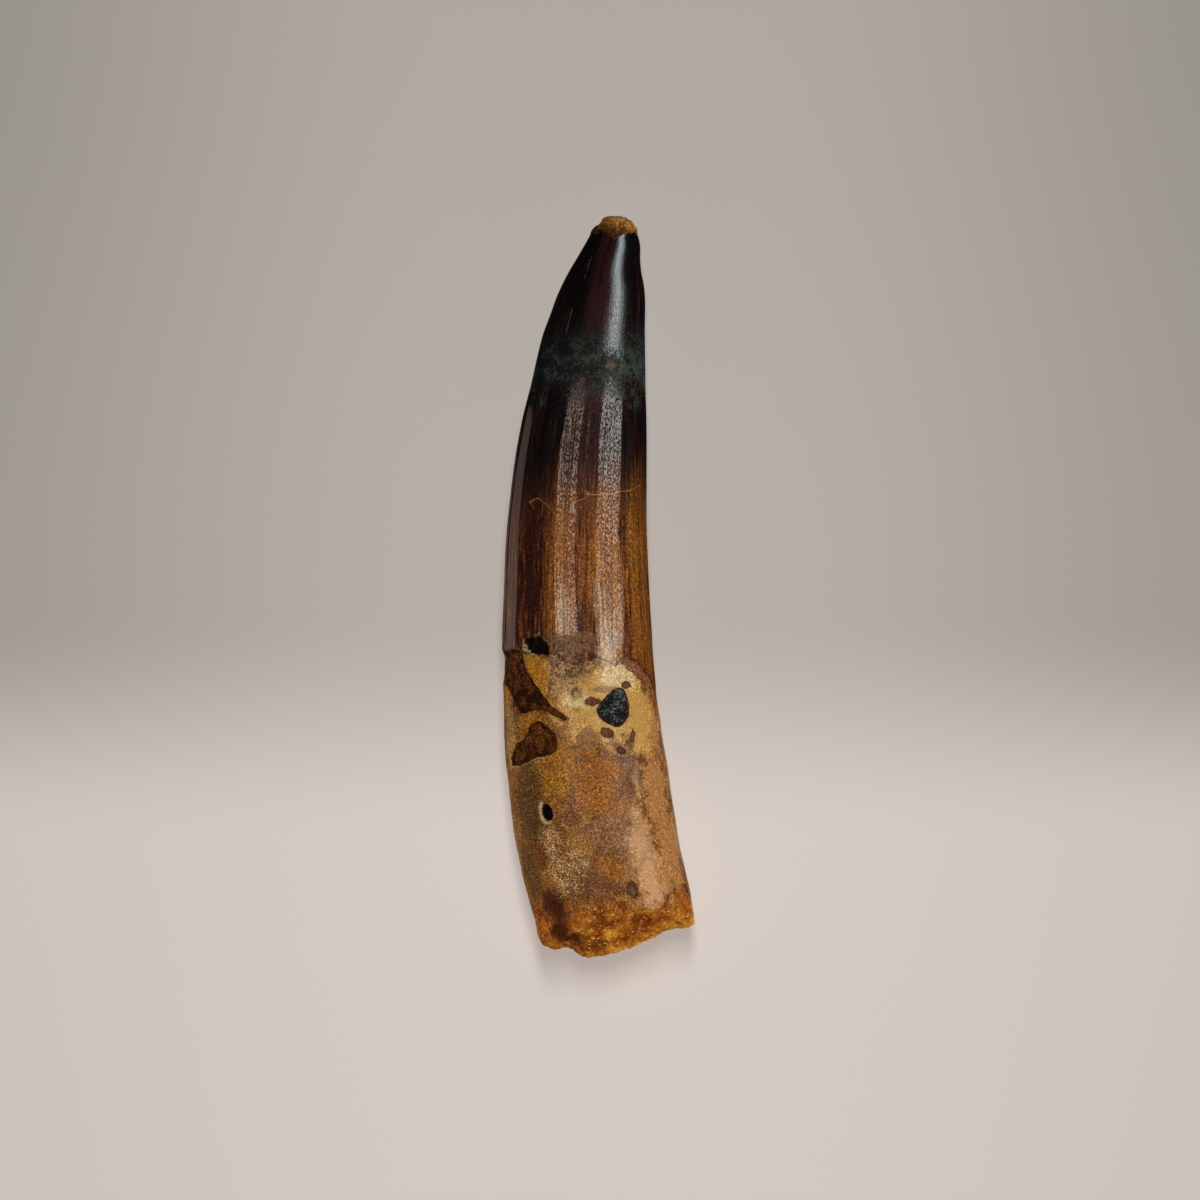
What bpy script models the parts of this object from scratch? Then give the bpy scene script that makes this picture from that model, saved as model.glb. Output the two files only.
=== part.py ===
"""A fossil dinosaur tooth, lying on its side with its tip towards +Y and its root towards -Y.

The tooth is one piece. Its sections run across its length, and each is an oval between the
left and right edges of the outline. Lengths are in millimetres until the mesh is made.
"""

import math

import bmesh
import bpy
import numpy as np
from mathutils import Matrix, Vector, noise

MM = 0.001

# Outline seen from above: (height above the root end, distance across)
LENGTH = 110.0
LEFT_EDGE = [
    (0.0, -8.6), (3.6, -9.2), (9.6, -10.7), (14.0, -11.7), (18.4, -12.65), (22.9, -13.3),
    (27.3, -13.75), (34.0, -14.15), (43.6, -14.35), (51.0, -14.2), (57.0, -14.05), (62.8, -13.75),
    (67.3, -13.3), (76.2, -12.1), (80.6, -11.25), (85.0, -10.2), (89.5, -9.2), (92.4, -8.45),
    (95.4, -7.35), (98.4, -6.25), (101.3, -4.85), (104.3, -3.1), (107.2, -1.45),
]
RIGHT_EDGE = [
    (0.0, 14.3), (5.7, 14.05), (8.1, 13.7), (14.0, 12.4), (22.9, 10.8), (28.8, 9.8), (34.7, 8.85),
    (40.6, 8.1), (45.1, 7.75), (51.0, 7.4), (62.8, 6.85), (77.6, 6.8), (92.4, 6.65), (99.8, 6.5),
    (101.9, 6.1), (103.7, 5.95), (105.8, 5.95), (107.2, 5.6),
]
# Half of the thickness at each height. The tooth is a little flattened from side to side.
HALF_THICKNESS = [
    (0.0, 9.3), (15.0, 9.8), (30.0, 9.7), (45.0, 9.1), (60.0, 8.5), (75.0, 7.7), (90.0, 6.4),
    (100.0, 5.0), (107.2, 3.1),
]
# How far the underside lifts from the surface that the tooth lies on
UNDERSIDE_LIFT = [(0.0, 0.5), (7.0, 0.05), (12.0, 0.0), (60.0, 0.0), (92.0, 0.0), (107.2, 0.6)]
UNDERSIDE_POWER = 0.85
REST_FLAT = 0.12
MIDDLE = Vector((-0.15, LENGTH / 2, REST_FLAT))

# The broken end of the root: lowest height at each distance across, and the front and back rims
BREAK_LOW = [
    (-11.0, 4.6), (-9.3, 3.4), (-8.7, 2.4), (-7.0, 1.3), (-4.6, 1.5), (-4.1, 1.9), (-3.4, 0.8),
    (-0.4, 0.0), (1.6, 0.5), (3.6, 1.1), (6.5, 2.3), (8.4, 3.2), (10.5, 4.2), (13.2, 4.6), (14.6, 5.8),
]
BREAK_FRONT = [
    (-11.0, 4.8), (-7.0, 3.0), (-3.0, 4.6), (0.0, 5.4), (4.0, 6.8), (7.0, 7.7), (9.5, 7.2), (14.0, 6.2),
]
BREAK_BACK = [(-11.0, 4.9), (-6.0, 4.2), (0.0, 2.2), (5.0, 3.4), (9.0, 5.6), (14.0, 6.6)]
BREAK_CENTRE = (2.6, 9.9)
BREAK_ROUGHNESS, BREAK_LUMP_SIZE = 0.5, 2.2
WALL_START = 14.0

# The worn tip
TIP_START = 107.2
TIP_RISE = 2.8
TIP_BITE = 0.75
TIP_CENTRE = 2.1

# The crown ends and the root begins along this line, left to right, then round the back
CROWN_LINE = [
    (180, 45.6), (150, 46.6), (125, 46.2), (105, 44.9), (95, 43.9), (82, 44.4), (74, 43.6), (64, 44.6),
    (52, 43.4), (35, 41.4), (10, 39.8), (-10, 41.5), (-40, 44.5), (-80, 46.0), (-120, 44.2), (-150, 45.8),
    (-180, 45.6),
]
CROWN_EDGE = 0.16
ROOT_UNEVENNESS, ROOT_LUMP_SIZE = 0.18, 7.0

# Ridges along the crown. Each broad one has an angle round the tooth, a half width in degrees and a height.
FLUTES = 30
FLUTE_HEIGHT = 0.07
FLUTED_FROM, FLUTED_TO = 47.0, 85.0
BROAD_RIDGES = [
    (104, 13, 0.14), (66, 14, 0.12), (38, 7, 0.1), (148, 12, 0.1), (236, 14, 0.12), (288, 16, 0.12),
]
KEEL_ANGLES = (4.0, 176.0)
KEEL_HEIGHT, KEEL_WIDTH = 0.22, 4.5

# Sunken patches and pits: outlines as (distance across, height), with depth and wall width.
# A point past an edge lies that much further round the back.
UPPER_PATCH = [
    (-13.8, 45.5), (-12.3, 46.0), (-11.4, 45.0), (-11.2, 43.6), (-10.5, 42.0), (-9.5, 40.4), (-8.6, 39.1),
    (-7.4, 37.5), (-5.9, 36.5), (-4.7, 35.7), (-5.0, 35.2), (-6.4, 35.7), (-8.0, 36.6), (-9.2, 37.0),
    (-10.4, 36.6), (-12.0, 36.2), (-13.2, 38.9), (-14.1, 40.9), (-15.6, 41.5), (-16.6, 43.5), (-15.5, 45.2),
]
LOWER_PATCH = [
    (-9.0, 35.2), (-7.4, 34.2), (-6.6, 33.1), (-6.4, 31.7), (-6.8, 30.6), (-7.8, 30.0), (-9.0, 30.0),
    (-10.5, 29.4), (-12.2, 28.5), (-13.3, 28.4), (-13.2, 30.6), (-12.4, 31.9), (-11.2, 33.0), (-10.6, 34.2),
    (-9.8, 35.2),
]
CROWN_GAP = [
    (-11.0, 47.1), (-9.8, 47.6), (-8.4, 47.1), (-7.8, 46.1), (-7.7, 45.2), (-8.7, 44.9), (-9.8, 45.4),
    (-10.5, 45.9),
]
PEBBLE_HOLLOW = [
    (2.9, 39.9), (3.8, 39.7), (4.1, 38.6), (4.3, 36.9), (3.8, 35.2), (2.9, 34.4), (1.7, 34.8), (0.4, 35.7),
    (-0.5, 36.5), (-0.1, 37.5), (0.7, 38.6), (1.7, 39.4),
]
HOLLOWS = [
    (UPPER_PATCH, 0.6, 1.1),
    (LOWER_PATCH, 0.65, 1.1),
    (CROWN_GAP, 0.9, 1.1),
    (PEBBLE_HOLLOW, 0.65, 1.2),
]
# Small pits: angle round the tooth, height, half width, half length, depth
PITS = [
    (98, 38.1, 0.95, 0.6, 0.45), (49, 40.5, 0.75, 0.6, 0.4), (76, 33.5, 1.0, 0.7, 0.5),
    (64, 30.9, 0.65, 0.45, 0.4), (122, 21.6, 0.8, 1.25, 1.1), (76, 10.4, 0.65, 1.1, 0.35),
    (232, 36.0, 1.3, 1.0, 0.5), (301, 24.5, 1.0, 1.4, 0.6), (340, 34.0, 0.7, 0.9, 0.4),
    (215, 16.0, 0.8, 0.7, 0.4),
]
CUTTER_REACH, CUTTER_LIFT = 1.6, 0.6

# Mesh: segments round the tooth, closer together on the side that faces up, and rows along it
SEGMENTS = 76
FRONT_CROWDING = 0.25
BREAK_ROWS = 6
LOW_WALL_ROWS = 5
ROOT_ROW = 1.9
PATCH_ROWS_FROM, PATCH_ROWS_TO, PATCH_ROW = 27.5, 48.0, 1.0
CROWN_ROW = 3.8
CLOSE_ROWS_ABOVE = 92.0
TIP_ROWS = 4

# Finish of each part of the surface: colour, roughness
FINISHES = {
    "dark_enamel": ((0.02, 0.009, 0.008), 0.25),
    "amber_enamel": ((0.17, 0.06, 0.017), 0.35),
    "root": ((0.36, 0.19, 0.07), 0.5),
    "broken_root": ((0.27, 0.095, 0.016), 0.75),
    "worn_tip": ((0.22, 0.1, 0.025), 0.8),
    "dark_hollow": ((0.035, 0.013, 0.006), 0.6),
}
DARK_ENAMEL_FROM = 68.0


def smooth_curve(points):
    """A smooth curve through (place, value) points, as a function of place."""
    places, values = np.array(points, float).T
    slopes = np.gradient(values, places)

    def at(place):
        place = np.clip(place, places[0], places[-1])
        i = np.clip(np.searchsorted(places, place, side="right") - 1, 0, len(places) - 2)
        span = places[i + 1] - places[i]
        t = (place - places[i]) / span
        start = values[i] * (1 + 2 * t) * (1 - t) ** 2 + slopes[i] * span * t * (1 - t) ** 2
        end = values[i + 1] * t * t * (3 - 2 * t) + slopes[i + 1] * span * t * t * (t - 1)
        return start + end

    return at


left_edge, right_edge = smooth_curve(LEFT_EDGE), smooth_curve(RIGHT_EDGE)
half_thickness, underside_lift = smooth_curve(HALF_THICKNESS), smooth_curve(UNDERSIDE_LIFT)
break_low, break_front, break_back = map(smooth_curve, (BREAK_LOW, BREAK_FRONT, BREAK_BACK))
crown_line = smooth_curve(sorted(CROWN_LINE))


def smoothstep(low, high, value):
    t = np.clip((value - low) / (high - low), 0, 1)
    return t * t * (3 - 2 * t)


def middle_and_half(height):
    """Where a section's middle lies across the tooth, and half of the section's width."""
    left, right = left_edge(height), right_edge(height)
    return (left + right) / 2, (right - left) / 2


def angle_of(across, height):
    """Angle round the tooth of a point given by its distance across: 0 right, 90 up, 180 left."""
    middle, half = middle_and_half(height)
    share = (across - middle) / half
    angle = np.arccos(np.clip(share, -1, 1))
    return angle + np.maximum(-1 - share, 0) - np.maximum(share - 1, 0)


def rounded(outline, times=2):
    """A closed outline with its corners cut, so that it is smooth."""
    points = np.array(outline, float)
    for _ in range(times):
        after = np.roll(points, -1, axis=0)
        points = np.stack([0.75 * points + 0.25 * after, 0.25 * points + 0.75 * after], 1).reshape(-1, 2)
    return points


def distance_to_outline(angle, height, outline):
    """Distance along the surface from points to an outline, negative inside it."""
    corners = rounded(outline)
    girth = middle_and_half(corners[:, 1].mean())[1]
    ends = np.stack([angle_of(corners[:, 0], corners[:, 1]) * girth, corners[:, 1]], 1)
    turn = ends[:, 0].mean() / girth
    around = (np.mod(angle - turn + math.pi, 2 * math.pi) - math.pi + turn) * girth
    nearest = np.full(np.shape(around), np.inf)
    inside = np.zeros(np.shape(around), bool)
    for (u1, v1), (u2, v2) in zip(ends, np.roll(ends, -1, axis=0)):
        du, dv = u2 - u1, v2 - v1
        along = np.clip(((around - u1) * du + (height - v1) * dv) / (du * du + dv * dv), 0, 1)
        nearest = np.minimum(nearest, np.hypot(around - u1 - along * du, height - v1 - along * dv))
        crosses = (v1 > height) != (v2 > height)
        at = u1 + (height - v1) * du / (dv if abs(dv) > 1e-9 else 1e-9)
        inside ^= crosses & (around < at)
    return np.where(inside, -nearest, nearest)


def lumps(points, size, octaves=3):
    """Smooth noise between about -1 and 1 at each point, with lumps of this size."""
    return np.array([noise.fractal(Vector(p) / size, 0.8, 2.1, octaves) for p in points])


def relief(angle, height, points):
    """How far each point of the wall stands out from the plain oval sections."""
    degrees = np.degrees(angle)
    signed = np.mod(degrees + 180, 360) - 180
    above_line = height - crown_line(signed)
    on_crown = smoothstep(-0.3, 0.3, above_line)
    fluted = smoothstep(FLUTED_FROM, FLUTED_FROM + 5, height) * smoothstep(FLUTED_TO, FLUTED_TO - 8, height)
    raised = CROWN_EDGE * on_crown * smoothstep(12, 0, above_line)
    raised = raised + FLUTE_HEIGHT * fluted * np.cos(FLUTES * angle)
    for place, width, rise in BROAD_RIDGES:
        away = np.mod(degrees - place + 180, 360) - 180
        raised = raised + rise * fluted * np.exp(-((away / width) ** 2))
    for place in KEEL_ANGLES:
        away = np.abs(np.mod(degrees - place + 180, 360) - 180)
        raised = raised + KEEL_HEIGHT * fluted * np.maximum(1 - away / KEEL_WIDTH, 0)
    raised = raised + (1 - on_crown) * ROOT_UNEVENNESS * lumps(points, ROOT_LUMP_SIZE)
    for outline, depth, wall in HOLLOWS:
        away = distance_to_outline(angle, height, outline)
        raised = raised - depth * smoothstep(wall / 2, -wall / 2, away)
    return raised


def section(angle, height):
    """Points of the plain oval sections, and the way their surface faces."""
    middle, half = middle_and_half(height)
    thick = half_thickness(height)
    rise = np.sin(angle)
    up = np.where(rise > 0, rise, -np.abs(rise) ** UNDERSIDE_POWER)
    points = np.stack(
        [middle + half * np.cos(angle), height + 0 * angle, thick + underside_lift(height) + thick * up], 1
    )
    facing = np.stack([np.cos(angle) / half, 0 * angle, rise / thick], 1)
    return points, facing / np.linalg.norm(facing, axis=1)[:, None]


def break_height(across, share_up):
    """Height of the root's broken face, by distance across and share of the way to the front."""
    low = break_low(across)
    front = (break_front(across) - low) * smoothstep(0.1, 1.0, share_up)
    back = (break_back(across) - low) * smoothstep(0.0, 1.0, -share_up)
    return low + np.maximum(front, 0) + np.maximum(back, 0)


def rim_height(angle):
    """Height at which the wall ends in the broken face."""
    height = np.full(len(angle), 4.0)
    for _ in range(4):
        points, _ = section(angle, height)
        height = break_height(points[:, 0], np.sin(angle))
    return height


def wall_ring(angle, height):
    points, facing = section(angle, height)
    points = points + facing * relief(angle, height, points)[:, None]
    points[:, 2] = np.maximum(points[:, 2], REST_FLAT)
    return points


def break_ring(angle, share):
    """A ring of the broken face, from its middle at share 0 to the rim at share 1."""
    rim = wall_ring(angle, rim_height(angle))
    centre = np.array([BREAK_CENTRE[0], 0, BREAK_CENTRE[1]])
    points = centre + (rim - centre) * share
    points[:, 1] = break_height(points[:, 0], share * np.sin(angle))
    rough = BREAK_ROUGHNESS * smoothstep(1.0, 0.8, share) * lumps(points, BREAK_LUMP_SIZE)
    points[:, 1] = np.maximum(points[:, 1] + rough, 0)
    return points


def tip_ring(angle, climb):
    """A ring of the worn tip, which domes over from climb 0 at the crown's end to a quarter turn at its top."""
    base = wall_ring(angle, np.full(len(angle), TIP_START))
    centre = base.mean(axis=0)
    points = centre + (base - centre) * math.cos(climb)
    dome = TIP_RISE * math.sin(climb)
    bite = TIP_BITE * smoothstep(TIP_CENTRE - 1.6, TIP_CENTRE - 2.2, points[:, 0]) * math.sin(climb)
    points[:, 1] = TIP_START + dome - bite + 0.2 * math.sin(2 * climb) * lumps(points, 1.3)
    return points


def rows():
    """The rings of the mesh, each as a function of the angles. The first and last are points."""
    made = []
    for i in range(BREAK_ROWS):
        made.append(lambda angle, share=i / BREAK_ROWS: break_ring(angle, share))
    for i in range(LOW_WALL_ROWS):
        share = i / LOW_WALL_ROWS
        made.append(
            lambda angle, share=share: wall_ring(
                angle, rim_height(angle) * (1 - share) + WALL_START * share
            )
        )
    height = WALL_START
    while height < TIP_START - 0.4 * ROOT_ROW:
        made.append(lambda angle, height=height: wall_ring(angle, np.full(len(angle), height)))
        if PATCH_ROWS_FROM <= height < PATCH_ROWS_TO:
            height += PATCH_ROW
        else:
            close = height < PATCH_ROWS_FROM or height > CLOSE_ROWS_ABOVE
            height += ROOT_ROW if close else CROWN_ROW
    for i in range(TIP_ROWS + 1):
        made.append(lambda angle, climb=math.pi / 2 * i / TIP_ROWS: tip_ring(angle, climb))
    return made


def finishes_at(centres, facings):
    """Name of the finish at each point of the surface."""
    across, height, up = centres.T
    middle, half = middle_and_half(height)
    thick = half_thickness(height)
    angle = np.arctan2((up - thick) / thick, (across - middle) / half)
    names = np.where(facings[:, 1] < -0.6, "broken_root", "root").astype("U20")
    names[height > crown_line(np.degrees(angle))] = "amber_enamel"
    names[height > DARK_ENAMEL_FROM] = "dark_enamel"
    for outline, _, _ in HOLLOWS:
        names[distance_to_outline(angle, height, outline) < 0] = "dark_hollow"
    names[height > TIP_START] = "worn_tip"
    return names


def material(name, colour, roughness):
    made = bpy.data.materials.new(name)
    made.use_nodes = True
    shader = made.node_tree.nodes["Principled BSDF"]
    shader.inputs["Base Color"].default_value = (*colour, 1)
    shader.inputs["Roughness"].default_value = roughness
    made.diffuse_color = (*colour, 1)
    return made


def collection(name):
    made = bpy.data.collections.new(name)
    bpy.context.scene.collection.children.link(made)
    return made


def make_tooth(home):
    """A sphere's rings, each moved to its place on the tooth."""
    turns = 2 * math.pi * np.arange(SEGMENTS) / SEGMENTS
    angle = turns + FRONT_CROWDING * np.cos(turns)
    rings = [ring(angle) for ring in rows()]
    count = len(rings) - 1

    shape = bmesh.new()
    bmesh.ops.create_uvsphere(shape, u_segments=SEGMENTS, v_segments=count, radius=1)
    for vertex in shape.verts:
        row = round((math.pi / 2 + math.asin(max(-1, min(1, vertex.co.z)))) * count / math.pi)
        turn = round(math.atan2(vertex.co.y, vertex.co.x) * SEGMENTS / (2 * math.pi)) % SEGMENTS
        vertex.co = (Vector(rings[row][turn]) - MIDDLE) * MM
    bmesh.ops.recalc_face_normals(shape, faces=shape.faces)

    mesh = bpy.data.meshes.new("fossil_tooth")
    for name, (colour, roughness) in FINISHES.items():
        mesh.materials.append(material(name, colour, roughness))
    shape.faces.ensure_lookup_table()
    centres = np.array([face.calc_center_median() / MM + MIDDLE for face in shape.faces])
    facings = np.array([face.normal for face in shape.faces])
    for face, name in zip(shape.faces, finishes_at(centres, facings)):
        face.material_index = list(FINISHES).index(name)
    shape.to_mesh(mesh)
    shape.free()
    tooth = bpy.data.objects.new("fossil_tooth", mesh)
    home.objects.link(tooth)
    mesh.shade_smooth()
    mesh.set_sharp_from_angle(angle=math.radians(35))
    return tooth


def cut_pits(tooth, cutters):
    """Cuts each small pit out of the wall with an oval cutter that faces along the wall."""
    for i, (degrees, height, half_width, half_length, depth) in enumerate(PITS):
        points, facing = section(np.array([math.radians(degrees)]), np.array([float(height)]))
        shape = bmesh.new()
        bmesh.ops.create_uvsphere(shape, u_segments=10, v_segments=6, radius=1)
        bmesh.ops.scale(shape, verts=shape.verts, vec=(half_width, half_length, depth * CUTTER_REACH))
        outward = Vector(facing[0])
        across = Vector((0, 1, 0)).cross(outward)
        turn = Matrix((across, (0, 1, 0), outward)).transposed().to_4x4()
        place = Vector(points[0]) + outward * depth * CUTTER_LIFT
        bmesh.ops.transform(shape, matrix=Matrix.Translation(place - MIDDLE) @ turn, verts=shape.verts)
        bmesh.ops.scale(shape, verts=shape.verts, vec=(MM, MM, MM))
        mesh = bpy.data.meshes.new(f"pit_cutter_{i + 1}")
        mesh.materials.append(bpy.data.materials["dark_hollow"])
        shape.to_mesh(mesh)
        shape.free()
        cutter = bpy.data.objects.new(f"pit_cutter_{i + 1}", mesh)
        cutter.hide_render = True
        cutter.display_type = "WIRE"
        cutters.objects.link(cutter)
        cut = tooth.modifiers.new(f"pit_{i + 1}", "BOOLEAN")
        cut.object = cutter
        cut.operation = "DIFFERENCE"


def main():
    for obj in list(bpy.data.objects):
        bpy.data.objects.remove(obj)
    tooth = make_tooth(collection("fossil_tooth"))
    cut_pits(tooth, collection("cutters"))


main()
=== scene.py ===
"""The looks of a fossil dinosaur tooth that lies on its side, seen from straight above.

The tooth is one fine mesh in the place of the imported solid. Its sections run across its length.
Shapes are worked out in millimetres above the root's broken end, and made metres at the last step.
"""

import math

import bpy
import numpy as np
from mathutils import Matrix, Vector, noise


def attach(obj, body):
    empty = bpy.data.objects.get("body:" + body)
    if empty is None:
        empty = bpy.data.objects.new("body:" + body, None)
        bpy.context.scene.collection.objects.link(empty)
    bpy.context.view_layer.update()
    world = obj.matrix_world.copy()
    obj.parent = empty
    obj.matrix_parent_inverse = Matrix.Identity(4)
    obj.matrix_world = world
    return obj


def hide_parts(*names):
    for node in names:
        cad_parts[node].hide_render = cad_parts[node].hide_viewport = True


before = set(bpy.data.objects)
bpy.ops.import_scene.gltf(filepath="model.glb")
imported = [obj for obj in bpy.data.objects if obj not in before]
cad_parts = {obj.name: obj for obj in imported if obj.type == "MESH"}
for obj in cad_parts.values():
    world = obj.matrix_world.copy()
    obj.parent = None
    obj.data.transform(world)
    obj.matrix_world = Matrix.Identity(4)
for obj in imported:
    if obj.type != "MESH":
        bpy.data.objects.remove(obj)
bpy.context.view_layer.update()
bpy.context.scene.view_settings.view_transform = "Standard"

MM = 0.001

# Outline seen from above: (height above the root end, distance across)
LENGTH = 110.0
LEFT_EDGE = [
    (0.0, -8.6), (3.6, -9.2), (9.6, -10.7), (14.0, -11.7), (18.4, -12.65), (22.9, -13.3),
    (27.3, -13.75), (34.0, -14.15), (43.6, -14.35), (51.0, -14.2), (57.0, -14.05), (62.8, -13.75),
    (67.3, -13.3), (76.2, -12.1), (80.6, -11.25), (85.0, -10.2), (89.5, -9.2), (92.4, -8.45),
    (95.4, -7.35), (98.4, -6.25), (101.3, -4.85), (104.3, -3.1), (107.2, -1.45),
]
RIGHT_EDGE = [
    (0.0, 14.3), (5.7, 14.05), (8.1, 13.7), (14.0, 12.4), (22.9, 10.8), (28.8, 9.8), (34.7, 8.85),
    (40.6, 8.1), (45.1, 7.75), (51.0, 7.4), (62.8, 6.85), (77.6, 6.8), (92.4, 6.65), (99.8, 6.5),
    (101.9, 6.1), (103.7, 5.95), (105.8, 5.95), (107.2, 5.6),
]
# Half of the thickness at each height. The tooth is a little flattened from side to side.
HALF_THICKNESS = [
    (0.0, 9.3), (15.0, 9.8), (30.0, 9.7), (45.0, 9.1), (60.0, 8.5), (75.0, 7.7), (90.0, 6.4),
    (100.0, 5.0), (107.2, 3.1),
]
UNDERSIDE_LIFT = [(0.0, 0.5), (7.0, 0.05), (12.0, 0.0), (60.0, 0.0), (92.0, 0.0), (107.2, 0.6)]
UNDERSIDE_POWER = 0.85
REST_FLAT = 0.12
MIDDLE = np.array((-0.15, LENGTH / 2, REST_FLAT))

# The broken end of the root: lowest height at each distance across, and the front and back rims
BREAK_LOW = [
    (-11.0, 4.6), (-9.3, 3.4), (-8.7, 2.4), (-7.0, 1.3), (-4.7, 1.45), (-4.1, 1.3), (-3.2, 0.6),
    (-0.4, 0.0), (1.6, 0.5), (3.6, 1.1), (6.5, 2.3), (8.4, 3.2), (10.5, 4.2), (13.2, 4.6), (14.6, 5.8),
]
BREAK_FRONT = [
    (-11.0, 4.8), (-7.0, 3.0), (-3.0, 4.6), (0.0, 5.4), (4.0, 6.8), (7.0, 7.7), (9.5, 7.2), (14.0, 6.2),
]
BREAK_BACK = [(-11.0, 4.9), (-6.0, 4.2), (0.0, 2.2), (5.0, 3.4), (9.0, 5.6), (14.0, 6.6)]
BREAK_CENTRE = (2.6, 9.9)
# The rim is looked for from this height, and the face's grain stands out this far
BREAK_MEAN, BREAK_ROUGH = 4.0, 0.35
# Above this the rows are level. The root's crumbled surface fades in between these, downwards.
WALL_START = 14.0
CRUMBLED = (9.0, 4.0)
NOTCH_ACROSS, NOTCH_WIDTH, NOTCH_DEPTH, NOTCH_TOP = -4.1, 0.55, 0.12, 7.0

# The worn tip
TIP_START = 107.2
TIP_RISE = 2.8
TIP_BITE = 0.75
TIP_CENTRE = 2.1
TIP_BITE_EDGE = (TIP_CENTRE - 1.6, TIP_CENTRE - 2.2)

# The crown ends and the root begins along this line: angle round the tooth, height
CROWN_LINE = [
    (180, 44.9), (150, 45.4), (125, 45.2), (105, 44.9), (95, 43.9), (81, 44.1), (69, 44.3), (61, 43.6),
    (53, 44.6), (38, 43.8), (21, 41.7), (12, 39.8), (-10, 41.5), (-40, 44.5), (-80, 46.0), (-120, 44.2),
    (-150, 45.4), (-180, 44.9),
]
# The crown's edge stands out this far, which fades away over this height
CROWN_EDGE, CROWN_EDGE_FADE = 0.14, 12

# Flat facets run along the crown and meet in low crests at these angles. They fade out above.
CRESTS = [4, 20, 38, 51, 73, 91, 108, 128, 147, 163, 176, 197, 218, 240, 263, 286, 308, 331, 350]
FACETS_FROM, FACETS_TO = 44.0, 87.0
# The crests sway along the crown: degrees, length of a swing, and how much it shifts with each degree
CREST_SWAYS = [(1.0, 6.5, 0.0), (0.6, 2.9, 0.04)]
# Narrow grooves between the crests: angle, half width in degrees, depth
GROOVES = [(104.8, 1.0, 0.035), (99.0, 1.3, 0.06), (84.0, 1.2, 0.02), (68.0, 1.0, 0.03), (46.0, 1.3, 0.02)]
KEEL_ANGLES = (4.0, 176.0)
KEEL_HEIGHT, KEEL_WIDTH = 0.15, 4.5

# Outlines on the surface as (distance across, height).
# A point past an edge lies that much further round the back.
UPPER_PATCH = [
    (-13.8, 45.5), (-12.3, 46.0), (-11.4, 45.0), (-11.2, 43.6), (-10.5, 42.0), (-9.5, 40.4), (-8.6, 39.1),
    (-7.4, 37.5), (-5.9, 36.5), (-4.7, 35.7), (-5.0, 35.2), (-6.4, 35.7), (-8.0, 36.6), (-9.2, 37.0),
    (-10.4, 36.6), (-12.0, 36.2), (-13.2, 38.9), (-14.1, 40.9), (-15.6, 41.5), (-16.6, 43.5), (-15.5, 45.2),
]
LOWER_PATCH = [
    (-9.0, 35.2), (-7.4, 34.2), (-6.6, 33.1), (-6.4, 31.7), (-6.8, 30.6), (-7.8, 30.0), (-9.0, 30.0),
    (-10.5, 29.4), (-12.2, 28.5), (-13.3, 28.4), (-13.2, 30.6), (-12.4, 31.9), (-11.2, 33.0), (-10.6, 34.2),
    (-9.8, 35.2),
]
CROWN_GAP = [
    (-11.4, 47.0), (-10.0, 47.8), (-8.5, 47.5), (-7.6, 46.4), (-7.4, 45.1), (-8.7, 44.8), (-10.0, 45.2),
    (-11.0, 45.8),
]
PEBBLE_HOLLOW = [
    (2.6, 40.0), (3.6, 39.7), (4.0, 38.6), (4.3, 36.6), (4.0, 35.6), (2.8, 34.3), (1.5, 34.8), (0.2, 35.6),
    (-0.6, 36.8), (0.5, 38.1), (1.5, 39.3),
]
AMBER_WEDGE = [
    (-11.4, 45.2), (-9.3, 44.7), (-7.1, 43.7), (-7.7, 41.6), (-7.9, 38.4), (-8.9, 39.6), (-10.6, 42.2),
]
CRESCENT = [
    (3.1, 44.1), (4.2, 44.4), (5.5, 43.7), (6.4, 42.6), (7.4, 41.3), (7.7, 39.9), (7.0, 40.4), (5.9, 41.3),
    (4.7, 42.4), (3.6, 43.2),
]
# Small pits: distance across, height, half width, half length, turn in degrees, depth
PITS = [
    (-1.2, 38.1, 0.95, 0.62, 0, 0.25), (3.9, 40.5, 0.75, 0.6, 0, 0.25), (1.1, 33.5, 1.0, 0.7, 15, 0.3),
    (3.2, 30.9, 0.7, 0.42, 25, 0.3), (4.8, 32.9, 0.3, 0.8, 20, 0.1), (12.6, 10.4, 1.0, 0.8, 0, 0.25),
]
DEEP_HOLE = (-7.9, 21.7, 1.05, 1.25, 0, 1.3)
SHALLOW_PIT = (4.9, 10.4, 0.9, 1.25, 0, 0.45)
# Pits of the underside: degrees round the tooth, and the rest as above
BACK_PITS = [
    (232, 36.0, 1.3, 1.0, 0, 0.5), (301, 24.5, 1.0, 1.4, 0, 0.6), (340, 34.0, 0.7, 0.9, 0, 0.4),
    (215, 16.0, 0.8, 0.7, 0, 0.4),
]
# The outlines by name, and how ragged their edges are
OUTLINES = {
    "upper_patch": (UPPER_PATCH, 1.0), "lower_patch": (LOWER_PATCH, 1.0), "gap": (CROWN_GAP, 2.0),
    "pebble": (PEBBLE_HOLLOW, 0.6), "wedge": (AMBER_WEDGE, 1.0), "crescent": (CRESCENT, 1.0),
}
UPPER_PATCH_DEPTH, LOWER_PATCH_DEPTH, GAP_DEPTH = 0.5, 0.6, 1.0
PEBBLE_DEPTH, PEBBLE_DOME = 0.6, 0.35
HOLE_LIP = 0.06
# A groove under the crown's edge. It fades out round this angle in radians, on the upper side.
EDGE_GROOVE_DEPTH, EDGE_GROOVE_WIDTH, NO_GROOVE_ANGLE = 0.12, 0.16, 1.9

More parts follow.
